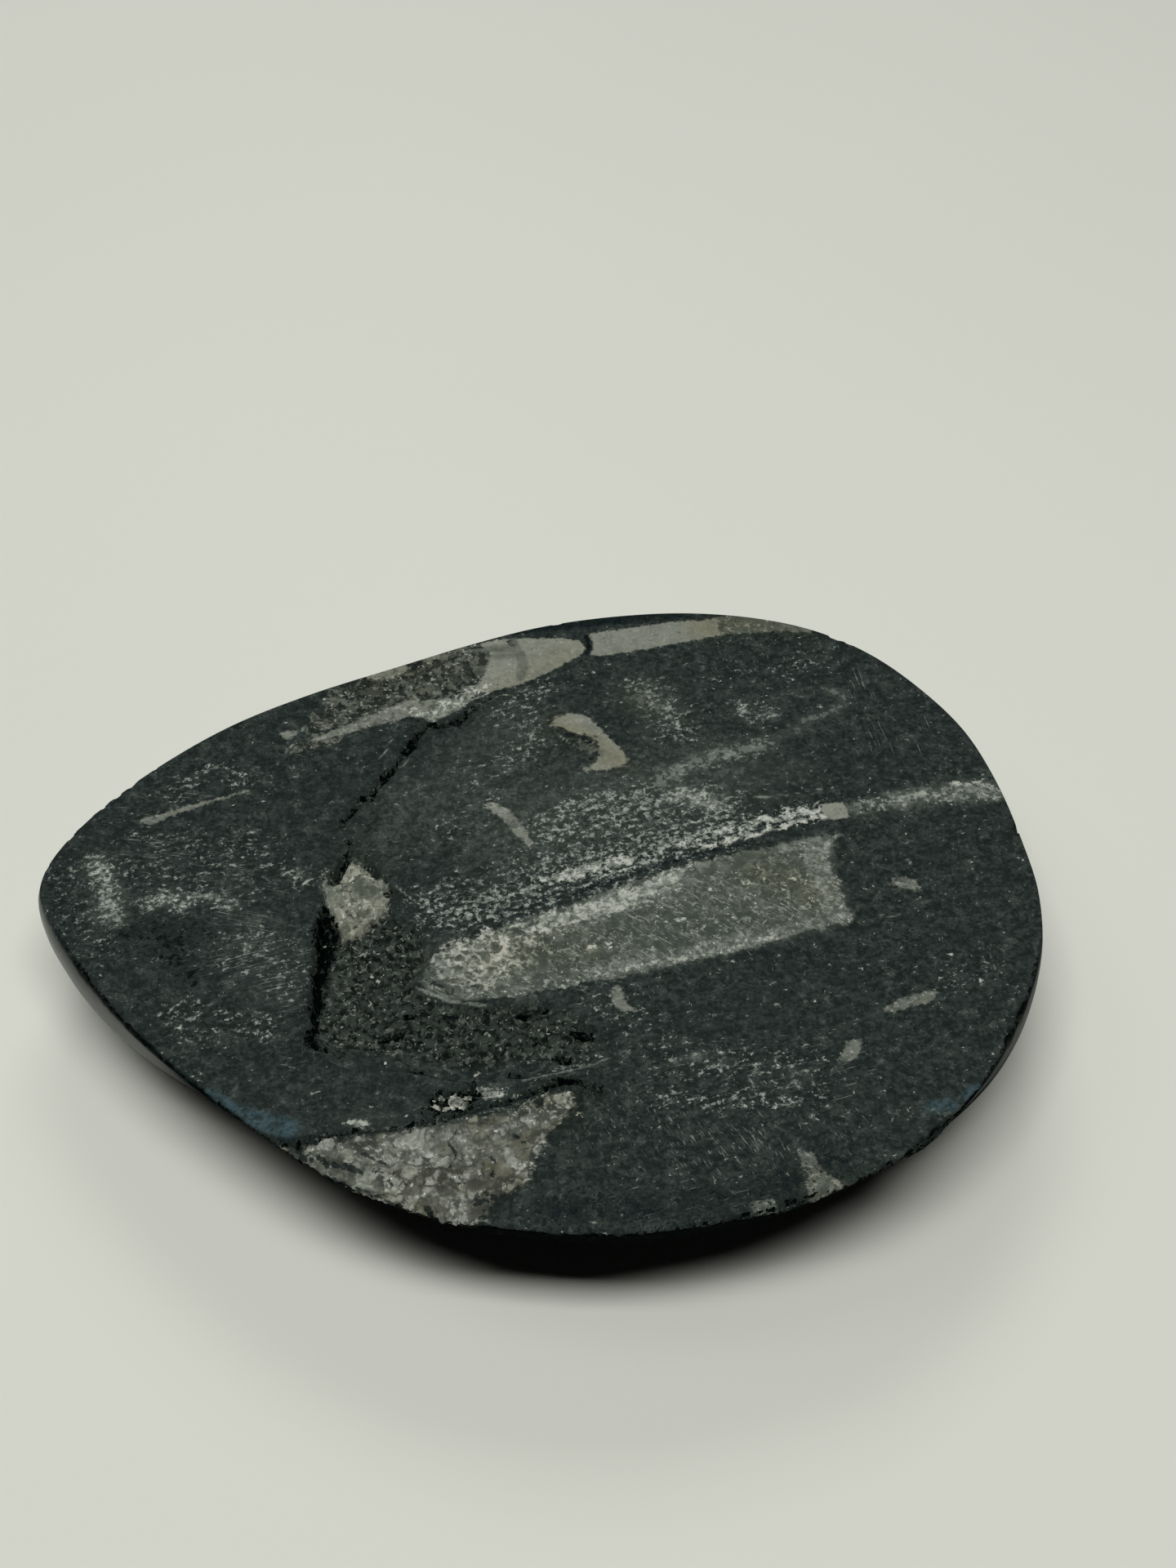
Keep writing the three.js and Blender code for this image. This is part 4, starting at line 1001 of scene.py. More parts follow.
def soft_marks(x, y, marks):
    """The strongest soft mark at each place."""
    field = np.zeros(x.shape)
    for half, strength, corners in marks:
        gap, _ = near_line(x, y, corners)
        field = np.maximum(field, strength * (1 - smooth(gap / (1.75 * half))))
    return field


def shell_marks(x, y, shells):
    """How far inside the nearest crisp shell each place is, and that shell's tone."""
    depth = np.full(x.shape, -9.0)
    tone = np.zeros(x.shape)
    for shell_tone, outline in shells.values():
        inside = depth_inside(x, y, outline)
        tone = np.where(inside > depth, shell_tone, tone)
        depth = np.maximum(depth, inside)
    return depth, tone


def markings(shape):
    """Every marking that the finish reads, by name, one number for each point."""
    x, y = shape.plan.T
    own_x, own_y = shape.points[:, 0], shape.points[:, 1]
    fade = np.clip(1 - shape.below / 6, 0, 1)
    pinch = 0.18 * np.minimum(shape.below, UNDER_DROP)
    shells, tone = shell_marks(x, y, PALE_SHELLS)
    shells = shells - pinch
    hidden, hidden_tone = shell_marks(own_x, own_y, UNDERSIDE_SHELLS)
    tone = np.where(shape.under & (hidden > shells), hidden_tone, tone)
    shells = np.where(shape.under, np.maximum(shells, hidden), shells)
    made = {name: soft_marks(x, y, marks) * fade for name, marks in SOFT_MARKS.items()}
    made["cone"] = depth_inside(x, y, ORTHOCONE) - pinch
    made["shells"], made["shell_tone"] = shells, tone
    made["coarse_calcite"] = depth_inside(x, y, CALCITE_PATCH) - pinch
    made["crystals"] = depth_inside(x, y, CRYSTAL_CLUSTER) - pinch
    made["broken"] = shape.broken
    made["crack"] = shape.crack
    made["polish"] = shape.on_side * smooth(shape.below / 1.2)

    # Deep shade under the leaning near side. It stops above a line at the right end.
    near = smooth((-15 - own_y) / 10) * smooth((own_x + 42) / 12)
    near = near * smooth((shape.points[:, 2] - 2) / 4)
    low = smooth((own_x - 22) / 8) * np.exp(-((shape.below - 2.2) / 0.8) ** 2)
    made["shade"] = made["polish"] * near * (1 - low)
    made["gloss"] = made["polish"] * (0.22 + 0.3 * smooth((-22 - x) / 16)) * (1 - near * (1 - low))

    # Painted shade: the dark line along the near rim, on the side and on the face.
    inside = depth_inside(x, y, smooth_loop(FACE_OUTLINE, 4).tolist())
    line = np.where(shape.on_side > 0, 1.1 - np.abs(shape.below - 0.45) / 0.7, 0.9 - inside / 0.4)
    made["edge"] = np.clip(line, 0, 1) * smooth((-6 - y) / 5) * (shape.below < UNDER_DROP)
    return made


# ---- finishes ----------------------------------------------------------------

def add_node(tree, kind, settings, inputs):
    """Adds a node: its settings first, then the values or links of its sockets."""
    made = tree.nodes.new(kind)
    for name, value in settings.items():
        setattr(made, name, value)
    by_identifier = {socket.identifier: socket for socket in made.inputs}
    for key, value in inputs.items():
        socket = made.inputs[key] if isinstance(key, int) else by_identifier[key]
        if isinstance(value, bpy.types.NodeSocket):
            tree.links.new(value, socket)
        else:
            socket.default_value = value
    return made


class Value:
    """A shader socket that takes part in Python sums."""

    def __init__(self, finish, socket):
        self.finish, self.socket = finish, socket

    def other(self, output):
        """Another output of the same node."""
        return Value(self.finish, self.socket.node.outputs[output])

    def _sum(self, operation, first, second):
        return self.finish.node("ShaderNodeMath", {"operation": operation}, {0: first, 1: second})

    def __add__(self, other):
        return self._sum("ADD", self, other)

    def __radd__(self, other):
        return self._sum("ADD", other, self)

    def __sub__(self, other):
        return self._sum("SUBTRACT", self, other)

    def __rsub__(self, other):
        return self._sum("SUBTRACT", other, self)

    def __mul__(self, other):
        return self._sum("MULTIPLY", self, other)

    def __rmul__(self, other):
        return self._sum("MULTIPLY", other, self)

    def most(self, other):
        """The larger of the two."""
        return self._sum("MAXIMUM", self, other)

    def between(self, low, high):
        """Eases from 0 at low to 1 at high."""
        settings = {"interpolation_type": "SMOOTHSTEP"}
        inputs = {0: self, 1: low, 2: high, 3: 0, 4: 1}
        return self.finish.node("ShaderNodeMapRange", settings, inputs)


class Finish:
    """One material under construction."""

    def __init__(self, name):
        self.material = bpy.data.materials.new(name)
        self.material.use_nodes = True
        self.tree = self.material.node_tree
        self.tree.nodes.clear()

    def node(self, kind, settings, inputs, output=0):
        """One output of a new node."""
        inputs = {k: v.socket if isinstance(v, Value) else v for k, v in inputs.items()}
        return Value(self, add_node(self.tree, kind, settings, inputs).outputs[output])

    def vectors(self, operation, inputs):
        return self.node("ShaderNodeVectorMath", {"operation": operation}, inputs)

    def place(self):
        """Object coordinates in millimetres."""
        metres = self.node("ShaderNodeTexCoord", {}, {}, "Object")
        return self.vectors("SCALE", {0: metres, "Scale": 1 / MM})

    def mark(self, name):
        """A marking's number from the mesh."""
        return self.node("ShaderNodeAttribute", {"attribute_name": name}, {}, "Fac")

    def turned(self, place, heading, grain):
        """Places measured in grains that lie along a heading in degrees."""
        inputs = {"Vector": place, "Rotation": (0, 0, math.radians(heading)), "Scale": grain}
        return self.node("ShaderNodeMapping", {"vector_type": "TEXTURE"}, inputs)

    def noise(self, place, per_mm, detail=3.0, roughness=0.55, distortion=0.0):
        inputs = {
            "Vector": place, "Scale": per_mm, "Detail": detail, "Roughness": roughness,
            "Distortion": distortion,
        }
        return self.node("ShaderNodeTexNoise", {}, inputs, "Fac")

    def nudged(self, place, per_mm, amount):
        """Places shifted about by noise, to bend straight edges."""
        inputs = {"Vector": place, "Scale": per_mm, "Detail": 2.0}
        drift = self.node("ShaderNodeTexNoise", {}, inputs, "Color")
        centred = self.vectors("SUBTRACT", {0: drift, 1: (0.5, 0.5, 0.5)})
        scaled = self.vectors("SCALE", {0: centred, "Scale": amount})
        return self.vectors("ADD", {0: place, 1: scaled})

    def grains(self, cover, noise):
        """Where ragged grains of a noise show: cover goes from 0, none, to 1, all of them."""
        edge = 0.73 - 0.48 * cover
        return noise.between(edge, edge + 0.08)

    def line_of(self, noise, half):
        """A curved line, wherever a smooth noise passes its middle value."""
        away = self.node("ShaderNodeMath", {"operation": "ABSOLUTE"}, {0: noise - 0.5})
        return away.between(half, half * 0.3)

    def cell_edges(self, place, per_mm):
        """Distance to the walls of irregular cells."""
        settings, inputs = {"feature": "DISTANCE_TO_EDGE"}, {"Vector": place, "Scale": per_mm}
        return self.node("ShaderNodeTexVoronoi", settings, inputs, "Distance")

    def blend(self, share, under, over):
        inputs = {"Factor_Float": share, "A_Color": under, "B_Color": over}
        return self.node("ShaderNodeMix", {"data_type": "RGBA"}, inputs, 2)

    def ramp(self, share, first, last):
        """From the first colour to the last, both in screen values, as the share goes to 1."""
        return self.blend(share, tone(*first), tone(*last))

    def painted(self, colour, layers):
        """The colour with more laid over it in turn: (share, screen values)."""
        for share, over in layers:
            colour = self.blend(share, colour, tone(*over))
        return colour

    def lines(self, place, heading, length, width, level):
        """Fine broken lines along a heading. A lower level shows more of them."""
        streaks = self.noise(self.turned(place, heading, (length, width, 4.0)), 1.0, 1.0, 0.5)
        return streaks.between(level, level + 0.1)

    def finished(self, inputs):
        """Closes the material with one glossy-diffuse surface."""
        surface = self.node("ShaderNodeBsdfPrincipled", {}, inputs, "BSDF")
        out = self.tree.nodes.new("ShaderNodeOutputMaterial")
        self.tree.links.new(surface.socket, out.inputs["Surface"])
        return self.material


def tone(red, green, blue):
    """A colour given in 0 to 255 screen values, as the shader's own linear values."""
    screen = (red / 255, green / 255, blue / 255)
    linear = [c / 12.92 if c <= 0.04045 else ((c + 0.055) / 1.055) ** 2.4 for c in screen]
    return (*linear, 1.0)


class Limestone(Finish):
    """The noises and marks of the fossil limestone, and the colour of each kind of rock in it.

    In a layer (share, screen values), the share says where the colour lies, from 0 to 1.
    """

    def __init__(self):
        super().__init__("fossil limestone")
        place = self.place()
        self.where = place
        self.straight = self.nudged(place, 0.16, 0.9)
        self.bent = self.nudged(place, 0.9, 0.6)
        self.curled = self.nudged(place, 1.7, 0.9)
        self.broad = self.noise(place, 0.16, 3.0, 0.6)
        self.patchy = self.noise(place, 0.6, 3.0, 0.6)
        self.mid = self.noise(self.bent, 1.3, 3.0, 0.62)
        self.fine = self.noise(self.curled, 2.6, 1.5, 0.55)
        self.curl = self.noise(self.curled, 1.5, 2.0, 0.5, 0.8)
        self.salt = self.noise(self.bent, 2.1, 3.0, 0.62)
        self.drawn = self.noise(self.turned(self.bent, 20, (4.5, 0.4, 1.0)), 1.0, 3.0, 0.6)
        streaky = self.noise(self.turned(self.curled, 21, (1.5, 0.5, 1.0)), 1.0, 4.0, 0.7, 0.3)
        self.salted = self.salt * 0.45 + streaky * 0.55
        self.grain = self.mid * 0.65 + self.fine * 0.35
        self.lively = self.patchy.between(0.47, 0.68)
        self.marks = {name: self.mark(name) for name in MARK_NAMES}

    def ragged(self, mark, wander, low, high):
        """Where a mark lies, with an edge that wanders with the grain."""
        return (self.marks[mark] + (self.mid - 0.5) * wander).between(low, high)

    def salted_grains(self, cover, level, spread, *extra):
        """Grains in a streaky noise, and in more noises: (share of the cover, noise)."""
        edge = level - cover * spread
        mask = self.salted.between(edge, edge + 0.07)
        for share, noise in extra:
            mask = mask.most(self.grains(cover * share, noise))
        return mask

    def ground(self):
        """Dark green-grey, softly mottled, with pale dust and curved flecks."""
        patchy, mid, drawn, lively = self.patchy, self.mid, self.drawn, self.lively
        specks = self.marks["specks"]
        hair = self.line_of(self.noise(self.curled, 1.1, 2.0, 0.6), 0.03) * mid.between(0.46, 0.6)
        colour = self.ramp(self.grain.between(0.38, 0.62), (25, 32, 30), (49, 57, 55))
        return self.painted(colour, [
            (self.broad.between(0.35, 0.65) * 0.3, (34, 42, 41)),
            (patchy.between(0.5, 0.38) * 0.4, (24, 31, 30)),
            (patchy.between(0.52, 0.66) * 0.3, (66, 74, 71)),
            (drawn.between(0.5, 0.36) * (0.08 + specks * 0.3), (29, 36, 35)),
            (drawn.between(0.5, 0.66) * (0.1 + specks * 0.3), (78, 86, 82)),
            (hair * (0.1 + lively * 0.35), (108, 116, 111)),
            (self.curl.between(0.58, 0.76) * (0.05 + lively * 0.5), (108, 116, 111)),
            (self.grains(0.14, self.fine) * (0.06 + lively * 0.45), (112, 120, 115)),
            (self.grains(0.1, self.salt) * patchy.between(0.5, 0.64) * 0.85, (170, 177, 171)),
        ])

    def speckled(self, colour):
        """Ground that is thick with pale grains, drawn out along the big shell."""
        specks = self.marks["specks"]
        thick = self.salted_grains(specks, 0.6, 0.2, (0.42, self.salt), (0.3, self.curl))
        speck = self.ramp(self.mid.between(0.4, 0.6), (82, 90, 85), (142, 150, 144))
        speck = self.blend(self.salt.between(0.54, 0.64) * specks, speck, tone(190, 195, 188))
        gaps = self.salted.between(0.5, 0.42) * specks * 0.75
        return self.blend(thick * 0.86, self.blend(gaps, colour, tone(22, 29, 28)), speck)

    def brown_calcite(self):
        """Coarse calcite that weathers brown and olive."""
        colour = self.ramp(self.patchy.between(0.42, 0.58), (42, 47, 42), (96, 99, 90))
        return self.painted(colour, [
            (self.broad.between(0.52, 0.42) * 0.6, (36, 41, 36)),
            (self.mid.between(0.52, 0.64) * 0.75, (116, 121, 113)),
            ((1 - self.curl).between(0.52, 0.64) * 0.9, (22, 27, 25)),
            (self.grains(0.3, self.salt) * 0.8, (160, 164, 156)),
        ])

    def big_shell(self):
        """Grey-beige calcite, hatched and flecked by grinding."""
        patchy, mid, fine, curl, salt = self.patchy, self.mid, self.fine, self.curl, self.salt
        hatch = self.lines(self.bent, -35, 1.9, 0.19, 0.58) * patchy.between(0.4, 0.56)
        dark_hatch = self.lines(self.bent, -31, 1.3, 0.24, 0.58)
        colour = self.ramp(self.broad.between(0.4, 0.6), (79, 85, 79), (91, 96, 88))
        return self.painted(colour, [
            (mid.between(0.52, 0.38) * 0.7, (58, 65, 60)),
            (mid.between(0.53, 0.66) * 0.6, (124, 130, 122)),
            (fine.between(0.5, 0.36) * 0.5, (62, 69, 64)),
            (dark_hatch * 0.35, (60, 67, 62)),
            (hatch * 0.6, (146, 152, 144)),
            (patchy.between(0.52, 0.4) * 0.4, (64, 72, 68)),
            (curl.between(0.58, 0.68) * 0.6, (154, 160, 152)),
            ((1 - curl).between(0.58, 0.7) * 0.5, (60, 67, 61)),
            (self.grains(0.24, fine) * self.lively * 0.9, (190, 194, 186)),
            (self.grains(0.19, salt) * patchy.between(0.4, 0.56) * 0.9, (220, 222, 214)),
            (self.grains(0.16, 1 - salt) * 0.6, (50, 56, 52)),
        ])

    def small_shells(self, colour):
        """Lays the smaller shells over the colour, from grey to cream."""
        mid, salt, shell_tone = self.mid, self.salt, self.marks["shell_tone"]
        solid = shell_tone.between(0.76, 0.84)
        crumbly = 1 - solid * 0.5
        pale = self.painted(self.ramp(shell_tone, (78, 86, 81), (138, 141, 131)), [
            (mid.between(0.52, 0.38) * crumbly * 0.5, (78, 84, 77)),
            (self.patchy.between(0.5, 0.36) * 0.35, (96, 101, 94)),
            (self.curl.between(0.54, 0.68) * crumbly * 0.6, (168, 170, 161)),
            (self.grains(0.2, salt) * crumbly * 0.7, (188, 190, 182)),
        ])
        edge = self.marks["shells"] + (mid - 0.5) * 0.7 + (self.fine - 0.5) * 0.4
        closed = (0.6 + (mid * 0.6 + salt * 0.4).between(0.4, 0.54) * 0.36).most(solid * 0.97)
        return self.blend(edge.between(-0.14, 0.2) * closed, colour, pale)

    def lumps(self):
        """Lumps of calcite: grey-olive inside, with creamy walls."""
        walls = self.cell_edges(self.nudged(self.where, 1.1, 1.0), 0.7)
        colour = self.ramp(self.patchy.between(0.4, 0.6), (76, 81, 73), (116, 121, 112))
        return self.painted(colour, [
            (walls.between(0.2, 0.04) * self.mid.between(0.42, 0.58), (176, 178, 170)),
            (self.grain.between(0.5, 0.4) * 0.75, (58, 63, 56)),
        ])

    def broken_rock(self):
        """Like the ground, but with painted shade in small black hollows, and pale chipped edges.
        """
        gaps = self.grains(0.4, 1 - self.mid) * self.patchy.between(0.42, 0.52)
        colour = self.ramp(self.mid.between(0.38, 0.62), (18, 24, 22), (54, 60, 56))
        return self.painted(colour, [
            (self.grains(0.3, self.curl) * 0.7, (98, 104, 97)),
            (self.grains(0.26, self.salt) * 0.85, (144, 150, 143)),
            (gaps, (5, 9, 8)),
        ])

    def coarse_calcite(self, cell_place, joints):
        """Blurred crystals with thin dark joints and bright curved chips."""
        patchy, salt = self.patchy, self.salt
        inputs = {"Vector": cell_place, "Scale": 0.55, "Smoothness": 0.6}
        cells = self.node("ShaderNodeTexVoronoi", {"feature": "SMOOTH_F1"}, inputs, "Color")
        each = self.node("ShaderNodeSeparateColor", {}, {0: cells})
        colour = self.ramp(each.between(0.2, 0.8), (66, 70, 63), (128, 132, 123))
        return self.painted(colour, [
            (self.broad.between(0.5, 0.4) * 0.35, (88, 83, 70)),
            (patchy.between(0.5, 0.38) * 0.75, (58, 61, 55)),
            (patchy.between(0.5, 0.62) * 0.8, (160, 163, 154)),
            (self.grain.between(0.5, 0.38) * 0.4, (60, 63, 58)),
            (each.other(1).between(0.5, 0.8) * 0.45, (108, 105, 88)),
            (joints.between(0.12, 0.02) * patchy.between(0.4, 0.54) * 0.75, (44, 48, 43)),
            (self.curl.between(0.58, 0.72) * self.lively * 0.7, (160, 164, 156)),
            (self.grains(0.22, salt) * patchy.between(0.42, 0.56), (214, 216, 208)),
            (self.grains(0.2, 1 - salt) * 0.7, (36, 40, 37)),
        ])

    def clear_calcite(self, joints):
        """The big crystals at the head of the hollow."""
        colour = self.ramp(self.patchy.between(0.4, 0.6), (88, 93, 83), (134, 136, 124))
        return self.painted(colour, [
            (joints.between(0.1, 0.02) * 0.5, (60, 64, 56)),
            (self.mid.between(0.55, 0.66) * 0.8, (166, 168, 156)),
        ])

    def blackened(self, colour):
        """Dark marks with painted rim shade on the face, black crumbs with painted shadows, then
        the painted shade of cracks and pits.
        """
        mid, marks = self.mid, self.marks
        dark_and_shade = self.grains(marks["dark"], mid).most(marks["dark"].between(0.6, 1))
        dark_and_shade_tone = self.ramp(self.fine.between(0.5, 0.4), (23, 32, 34), (10, 17, 19))
        wander = (self.patchy - 0.5) * 1.1 + (mid - 0.5) * 2.4 + (self.salt - 0.5) * 1.6
        crumbs = (marks["dark_and_shade"] * 0.9 + wander).between(0.3, 0.8) * marks["dark_and_shade"].between(0, 0.2)
        painted_crack_shade = (marks["crack"] + wander).between(0.34, 0.62)
        painted_crack_shade = painted_crack_shade * (1 - self.grains(0.3, self.curl) * 0.3)
        return self.painted(self.blend(dark_and_shade * 0.85, colour, dark_and_shade_tone), [
            (crumbs * 0.75, (9, 14, 13)),
            (painted_crack_shade * marks["crack"].between(0, 0.15), (3, 8, 7)),
        ])

    def grinding(self):
        """Where the grinding scratches lie."""
        scratches = self.lines(self.straight, -24, 5.0, 0.12, 0.68) * 0.3
        for name, (heading, length, width) in SCRATCH_FAMILIES.items():
            level = 0.74 - self.marks[name] * 0.145
            lines = self.lines(self.straight, heading, length, width, level)
            scratches = scratches.most(lines * self.marks[name].between(0, 0.25))
        return scratches * (1 - self.marks["broken"]) * (0.2 + self.mid.between(0.38, 0.58) * 0.8)


def limestone():
    """Dark fossil limestone: a hand-ground face, broken hollows and a polished underside."""
    f = Limestone()
    marks, mid, fine, patchy, salt, curl = f.marks, f.mid, f.fine, f.patchy, f.salt, f.curl
    polish, broken = marks["polish"], marks["broken"]

    colour = f.speckled(f.ground())
    colour = f.blend(f.ragged("mottled", 1.6, 0.3, 0.55) * 0.92, colour, f.brown_calcite())
    colour = f.blend(f.ragged("cone", 1.2, -0.1, 0.2), colour, f.big_shell())
    colour = f.small_shells(colour)
    colour = f.blend(f.ragged("lumps", 1.6, 0.3, 0.6) * 0.85, colour, f.lumps())

    # Creamy streaks of ragged grains, pale clouds and pale threads.
    cream = f.ramp(mid.between(0.42, 0.6), (130, 136, 127), (200, 202, 194))
    cream = f.blend(salt.between(0.48, 0.4) * 0.8, cream, tone(94, 101, 94))
    streaks = f.salted_grains(marks["cream"], 0.61, 0.22, (0.55, curl), (0.55, mid))
    clouds = marks["clouds"] * (0.25 + f.grains(marks["clouds"] * 0.7, mid) * 0.75)
    threads = marks["threads"].between(0.15, 0.6) * (0.35 + mid.between(0.36, 0.6) * 0.65)
    colour = f.painted(f.blend(streaks * 0.88, colour, cream), [
        (clouds * 0.72, (118, 126, 120)),
        (threads * 0.9, (140, 147, 139)),
    ])
    stained = f.node("ShaderNodeMix", {"data_type": "RGBA", "blend_type": "MULTIPLY"}, {
        "Factor_Float": marks["tan"] * 0.9, "A_Color": colour, "B_Color": tone(238, 226, 192),
    }, 2)
    colour = f.blend(f.ragged("broken", 2.4, 0.25, 0.7), stained, f.broken_rock())

    # Calcite: the coarse patch, the crystals, grey zones and a pale haze.
    cell_place = f.nudged(f.where, 0.8, 1.3)
    joints = f.cell_edges(cell_place, 0.55)
    coarse = (marks["coarse_calcite"] + (patchy - 0.5) * 3 + (mid - 0.5) * 2).between(-0.3, 0.4)
    colour = f.blend(coarse, colour, f.coarse_calcite(cell_place, joints))
    colour = f.blend(f.ragged("crystals", 1.4, -0.1, 0.3), colour, f.clear_calcite(joints))
    colour = f.blend(streaks * coarse * 0.8, colour, cream)
    grey = f.ramp(patchy.between(0.4, 0.6), (74, 80, 73), (100, 104, 95))
    colour = f.blend(f.ragged("greys", 1.2, 0.2, 0.6) * 0.75, colour, grey)
    haze = f.ramp(salt.between(0.5, 0.62), (136, 141, 133), (176, 180, 172))
    colour = f.blend(marks["veils"] * (0.3 + mid.between(0.4, 0.62) * 0.7) * 0.8, colour, haze)
    # A faint pale lift over the whole stone: a painted reflection in place of the specular that is
    # left off.
    colour = f.blackened(f.blend(0.012, colour, tone(150, 157, 151)))

    # Scratches and polish, then painted light: a bluish sheen on the polished rim, painted shade
    # under the near side and a painted shadow line along the near rim.
    scratches = f.grinding()
    sheen = 0.25 + (mid * 0.5 + salt * 0.5).between(0.42, 0.58) * 0.75
    sheen = marks["blue"].between(0.1, 0.7) * sheen
    painted_rim_shade = (marks["edge"] + (mid - 0.5) * 2.2 + (fine - 0.5) * 1.4).between(0.4, 0.7)
    colour = f.painted(colour, [
        (scratches * 0.6, (144, 152, 146)),
        (sheen * 0.85, (66, 87, 95)),
        (polish * 0.35, (20, 25, 24)),
        (marks["shade"] * 0.8, (4, 6, 6)),
        (painted_rim_shade * marks["edge"].between(0, 0.2) * 0.95, (3, 7, 7)),
    ])

    height = fine * 0.3 + mid * 0.6 + curl * 0.3 - scratches * 0.3
    height = height * (1 - polish * 0.9) + (mid * 3.5 + curl * 1.5 + patchy * 2) * broken
    bump = f.node("ShaderNodeBump", {}, {"Strength": 0.5, "Distance": 0.07 * MM, "Height": height})
    roughness = 0.62 + broken * 0.2 - polish * 0.2 - sheen * 0.2 + fine * 0.08
    return f.finished({
        "Base Color": colour, "Roughness": roughness, "Normal": bump, "IOR": 1.5,
        "Specular IOR Level": 0.0, "Coat Weight": marks["gloss"], "Coat Roughness": 0.12,
    })


def calcite_crystals():
    """Cloudy cream calcite with glossy broken faces."""
    f = Finish("cloudy calcite")
    place = f.place()
    cloud = f.noise(place, 1.1, 3.0, 0.6)
    fine = f.noise(place, 6.0, 2.0, 0.6)
    colour = f.ramp(cloud.between(0.4, 0.62), (92, 96, 88), (158, 160, 149))
    colour = f.blend(fine.between(0.54, 0.7) * 0.6, colour, tone(188, 190, 180))
    along = f.node("ShaderNodeSeparateXYZ", {}, {0: place})
    clump = along.other(1).between(-23, -24.5) * along.other(1).between(-28.4, -27.4)
    colour = f.blend(clump * cloud.between(0.42, 0.58) * 0.5, colour, tone(180, 182, 174))
    bump = f.node("ShaderNodeBump", {}, {"Strength": 0.3, "Distance": 0.04 * MM, "Height": fine})
    return f.finished({
        "Base Color": colour, "Roughness": 0.28 + cloud * 0.2, "Normal": bump, "IOR": 1.6,
    })


def plain(name, colour, roughness):
    """An even finish with only a trace of cloud."""
    f = Finish(name)
    cloud = f.noise(f.place(), 0.004, 2.0)
    shade = f.blend(cloud.between(0.3, 0.7), tone(*colour), tone(*(c - 3 for c in colour)))
    return f.finished({"Base Color": shade, "Roughness": roughness})


# ---- pieces ------------------------------------------------------------------


def put(name, data):
    """A new object in the scene."""
    made = bpy.data.objects.new(name, data)
    bpy.context.scene.collection.objects.link(made)
    return made


def set_numbers(mesh, name, kind, values):
    """Keeps a number, or a vector, for each point of a mesh."""
    field = "vector" if kind == "FLOAT_VECTOR" else "value"
    made = mesh.attributes.new(name, kind, "POINT")
    made.data.foreach_set(field, values.astype(np.float32).ravel())


def fossil_stone():
    """The stone itself, with its markings and its finish."""
    shape = StoneShape()
    mesh = shape.mesh("sawn_stone")
    for name, values in markings(shape).items():
        set_numbers(mesh, name, "FLOAT", values)
    mesh.materials.append(limestone())
    return put("sawn_stone", mesh)


# Where the small crystals sit: (outline, how many at most, size).
LOOSE_CLUMP = [
    (-10.9, -26.9), (-9.4, -25.3), (-7, -24.6), (-5.2, -25), (-5.3, -26.6), (-7.6, -27.6),
    (-9.8, -28),
]
CRYSTAL_BEDS = [
    (CRYSTAL_CLUSTER, 60, 0.9),
    (CALCITE_PATCH, 10, 0.5),
    (HOLLOW, 24, 0.4),
    (LOOSE_CLUMP, 34, 0.85),
]


def crystal_seats():
    """Where each crystal sits, how it is turned and how big it is."""
    draw = np.random.default_rng(12)
    seats, turns, sizes = [], [], []
    for outline, count, size in CRYSTAL_BEDS:
        low, high = np.min(outline, 0), np.max(outline, 0)
        spots = low + draw.random((count * 6, 2)) * (high - low)
        inside = depth_inside(spots[:, 0], spots[:, 1], outline) > 0.5
        rim = depth_inside(spots[:, 0], spots[:, 1], FACE_OUTLINE) > 1.2
        spots = spots[inside & rim][:count]
        depth, _ = face_relief(spots[:, 0], spots[:, 1])
        own = size * (0.35 + 0.9 * draw.random(len(spots)) ** 2)
        z = np.minimum(FACE_Z - depth - 0.1 * own, FACE_Z - 0.75 * own)
        seats.append(np.column_stack([spots, z]))
        turns.append(draw.normal(0, (0.4, 0.4, 3), (len(spots), 3)))
        sizes.append(own[:, None] * draw.uniform((0.8, 0.5, 0.4), (1.3, 0.9, 0.8), (len(spots), 3)))
    return np.concatenate(seats), np.concatenate(turns), np.concatenate(sizes)


def crystal_nodes(material):
    """Sets a leaning calcite block on each seat."""
    group = bpy.data.node_groups.new("calcite blocks", "GeometryNodeTree")
    face = group.interface
    face.new_socket("Geometry", in_out="INPUT", socket_type="NodeSocketGeometry")
    lean = face.new_socket("Lean", in_out="INPUT", socket_type="NodeSocketFloat")
    face.new_socket("Geometry", in_out="OUTPUT", socket_type="NodeSocketGeometry")

    def add(kind, inputs=(), **settings):
        numbered = dict(enumerate(inputs))
        return add_node(group, kind, settings, numbered).outputs

    seats, lean_by = list(add("NodeGroupInput"))[:2]
    block = add("GeometryNodeMeshCube", [(MM, MM, MM)])[0]
    height = add("ShaderNodeSeparateXYZ", [add("GeometryNodeInputPosition")[0]])[2]
    slide = add("ShaderNodeMath", [height, lean_by], operation="MULTIPLY")[0]
    offset = add("ShaderNodeCombineXYZ", [slide])[0]
    leaning = add_node(group, "GeometryNodeSetPosition", {}, {0: block, "Offset": offset})
    turn, size = (
        add("GeometryNodeInputNamedAttribute", [name], data_type="FLOAT_VECTOR")[0]
        for name in ("turn", "size")
    )
    placed = add_node(group, "GeometryNodeInstanceOnPoints", {}, {
        "Points": seats, "Instance": leaning.outputs[0],
        "Rotation": add("FunctionNodeEulerToRotation", [turn])[0], "Scale": size,
    })
    real = add("GeometryNodeRealizeInstances", [placed.outputs[0]])[0]
    dressed = add_node(group, "GeometryNodeSetMaterial", {}, {0: real, "Material": material})
    add("NodeGroupOutput", [dressed.outputs[0]])
    return group, lean.identifier


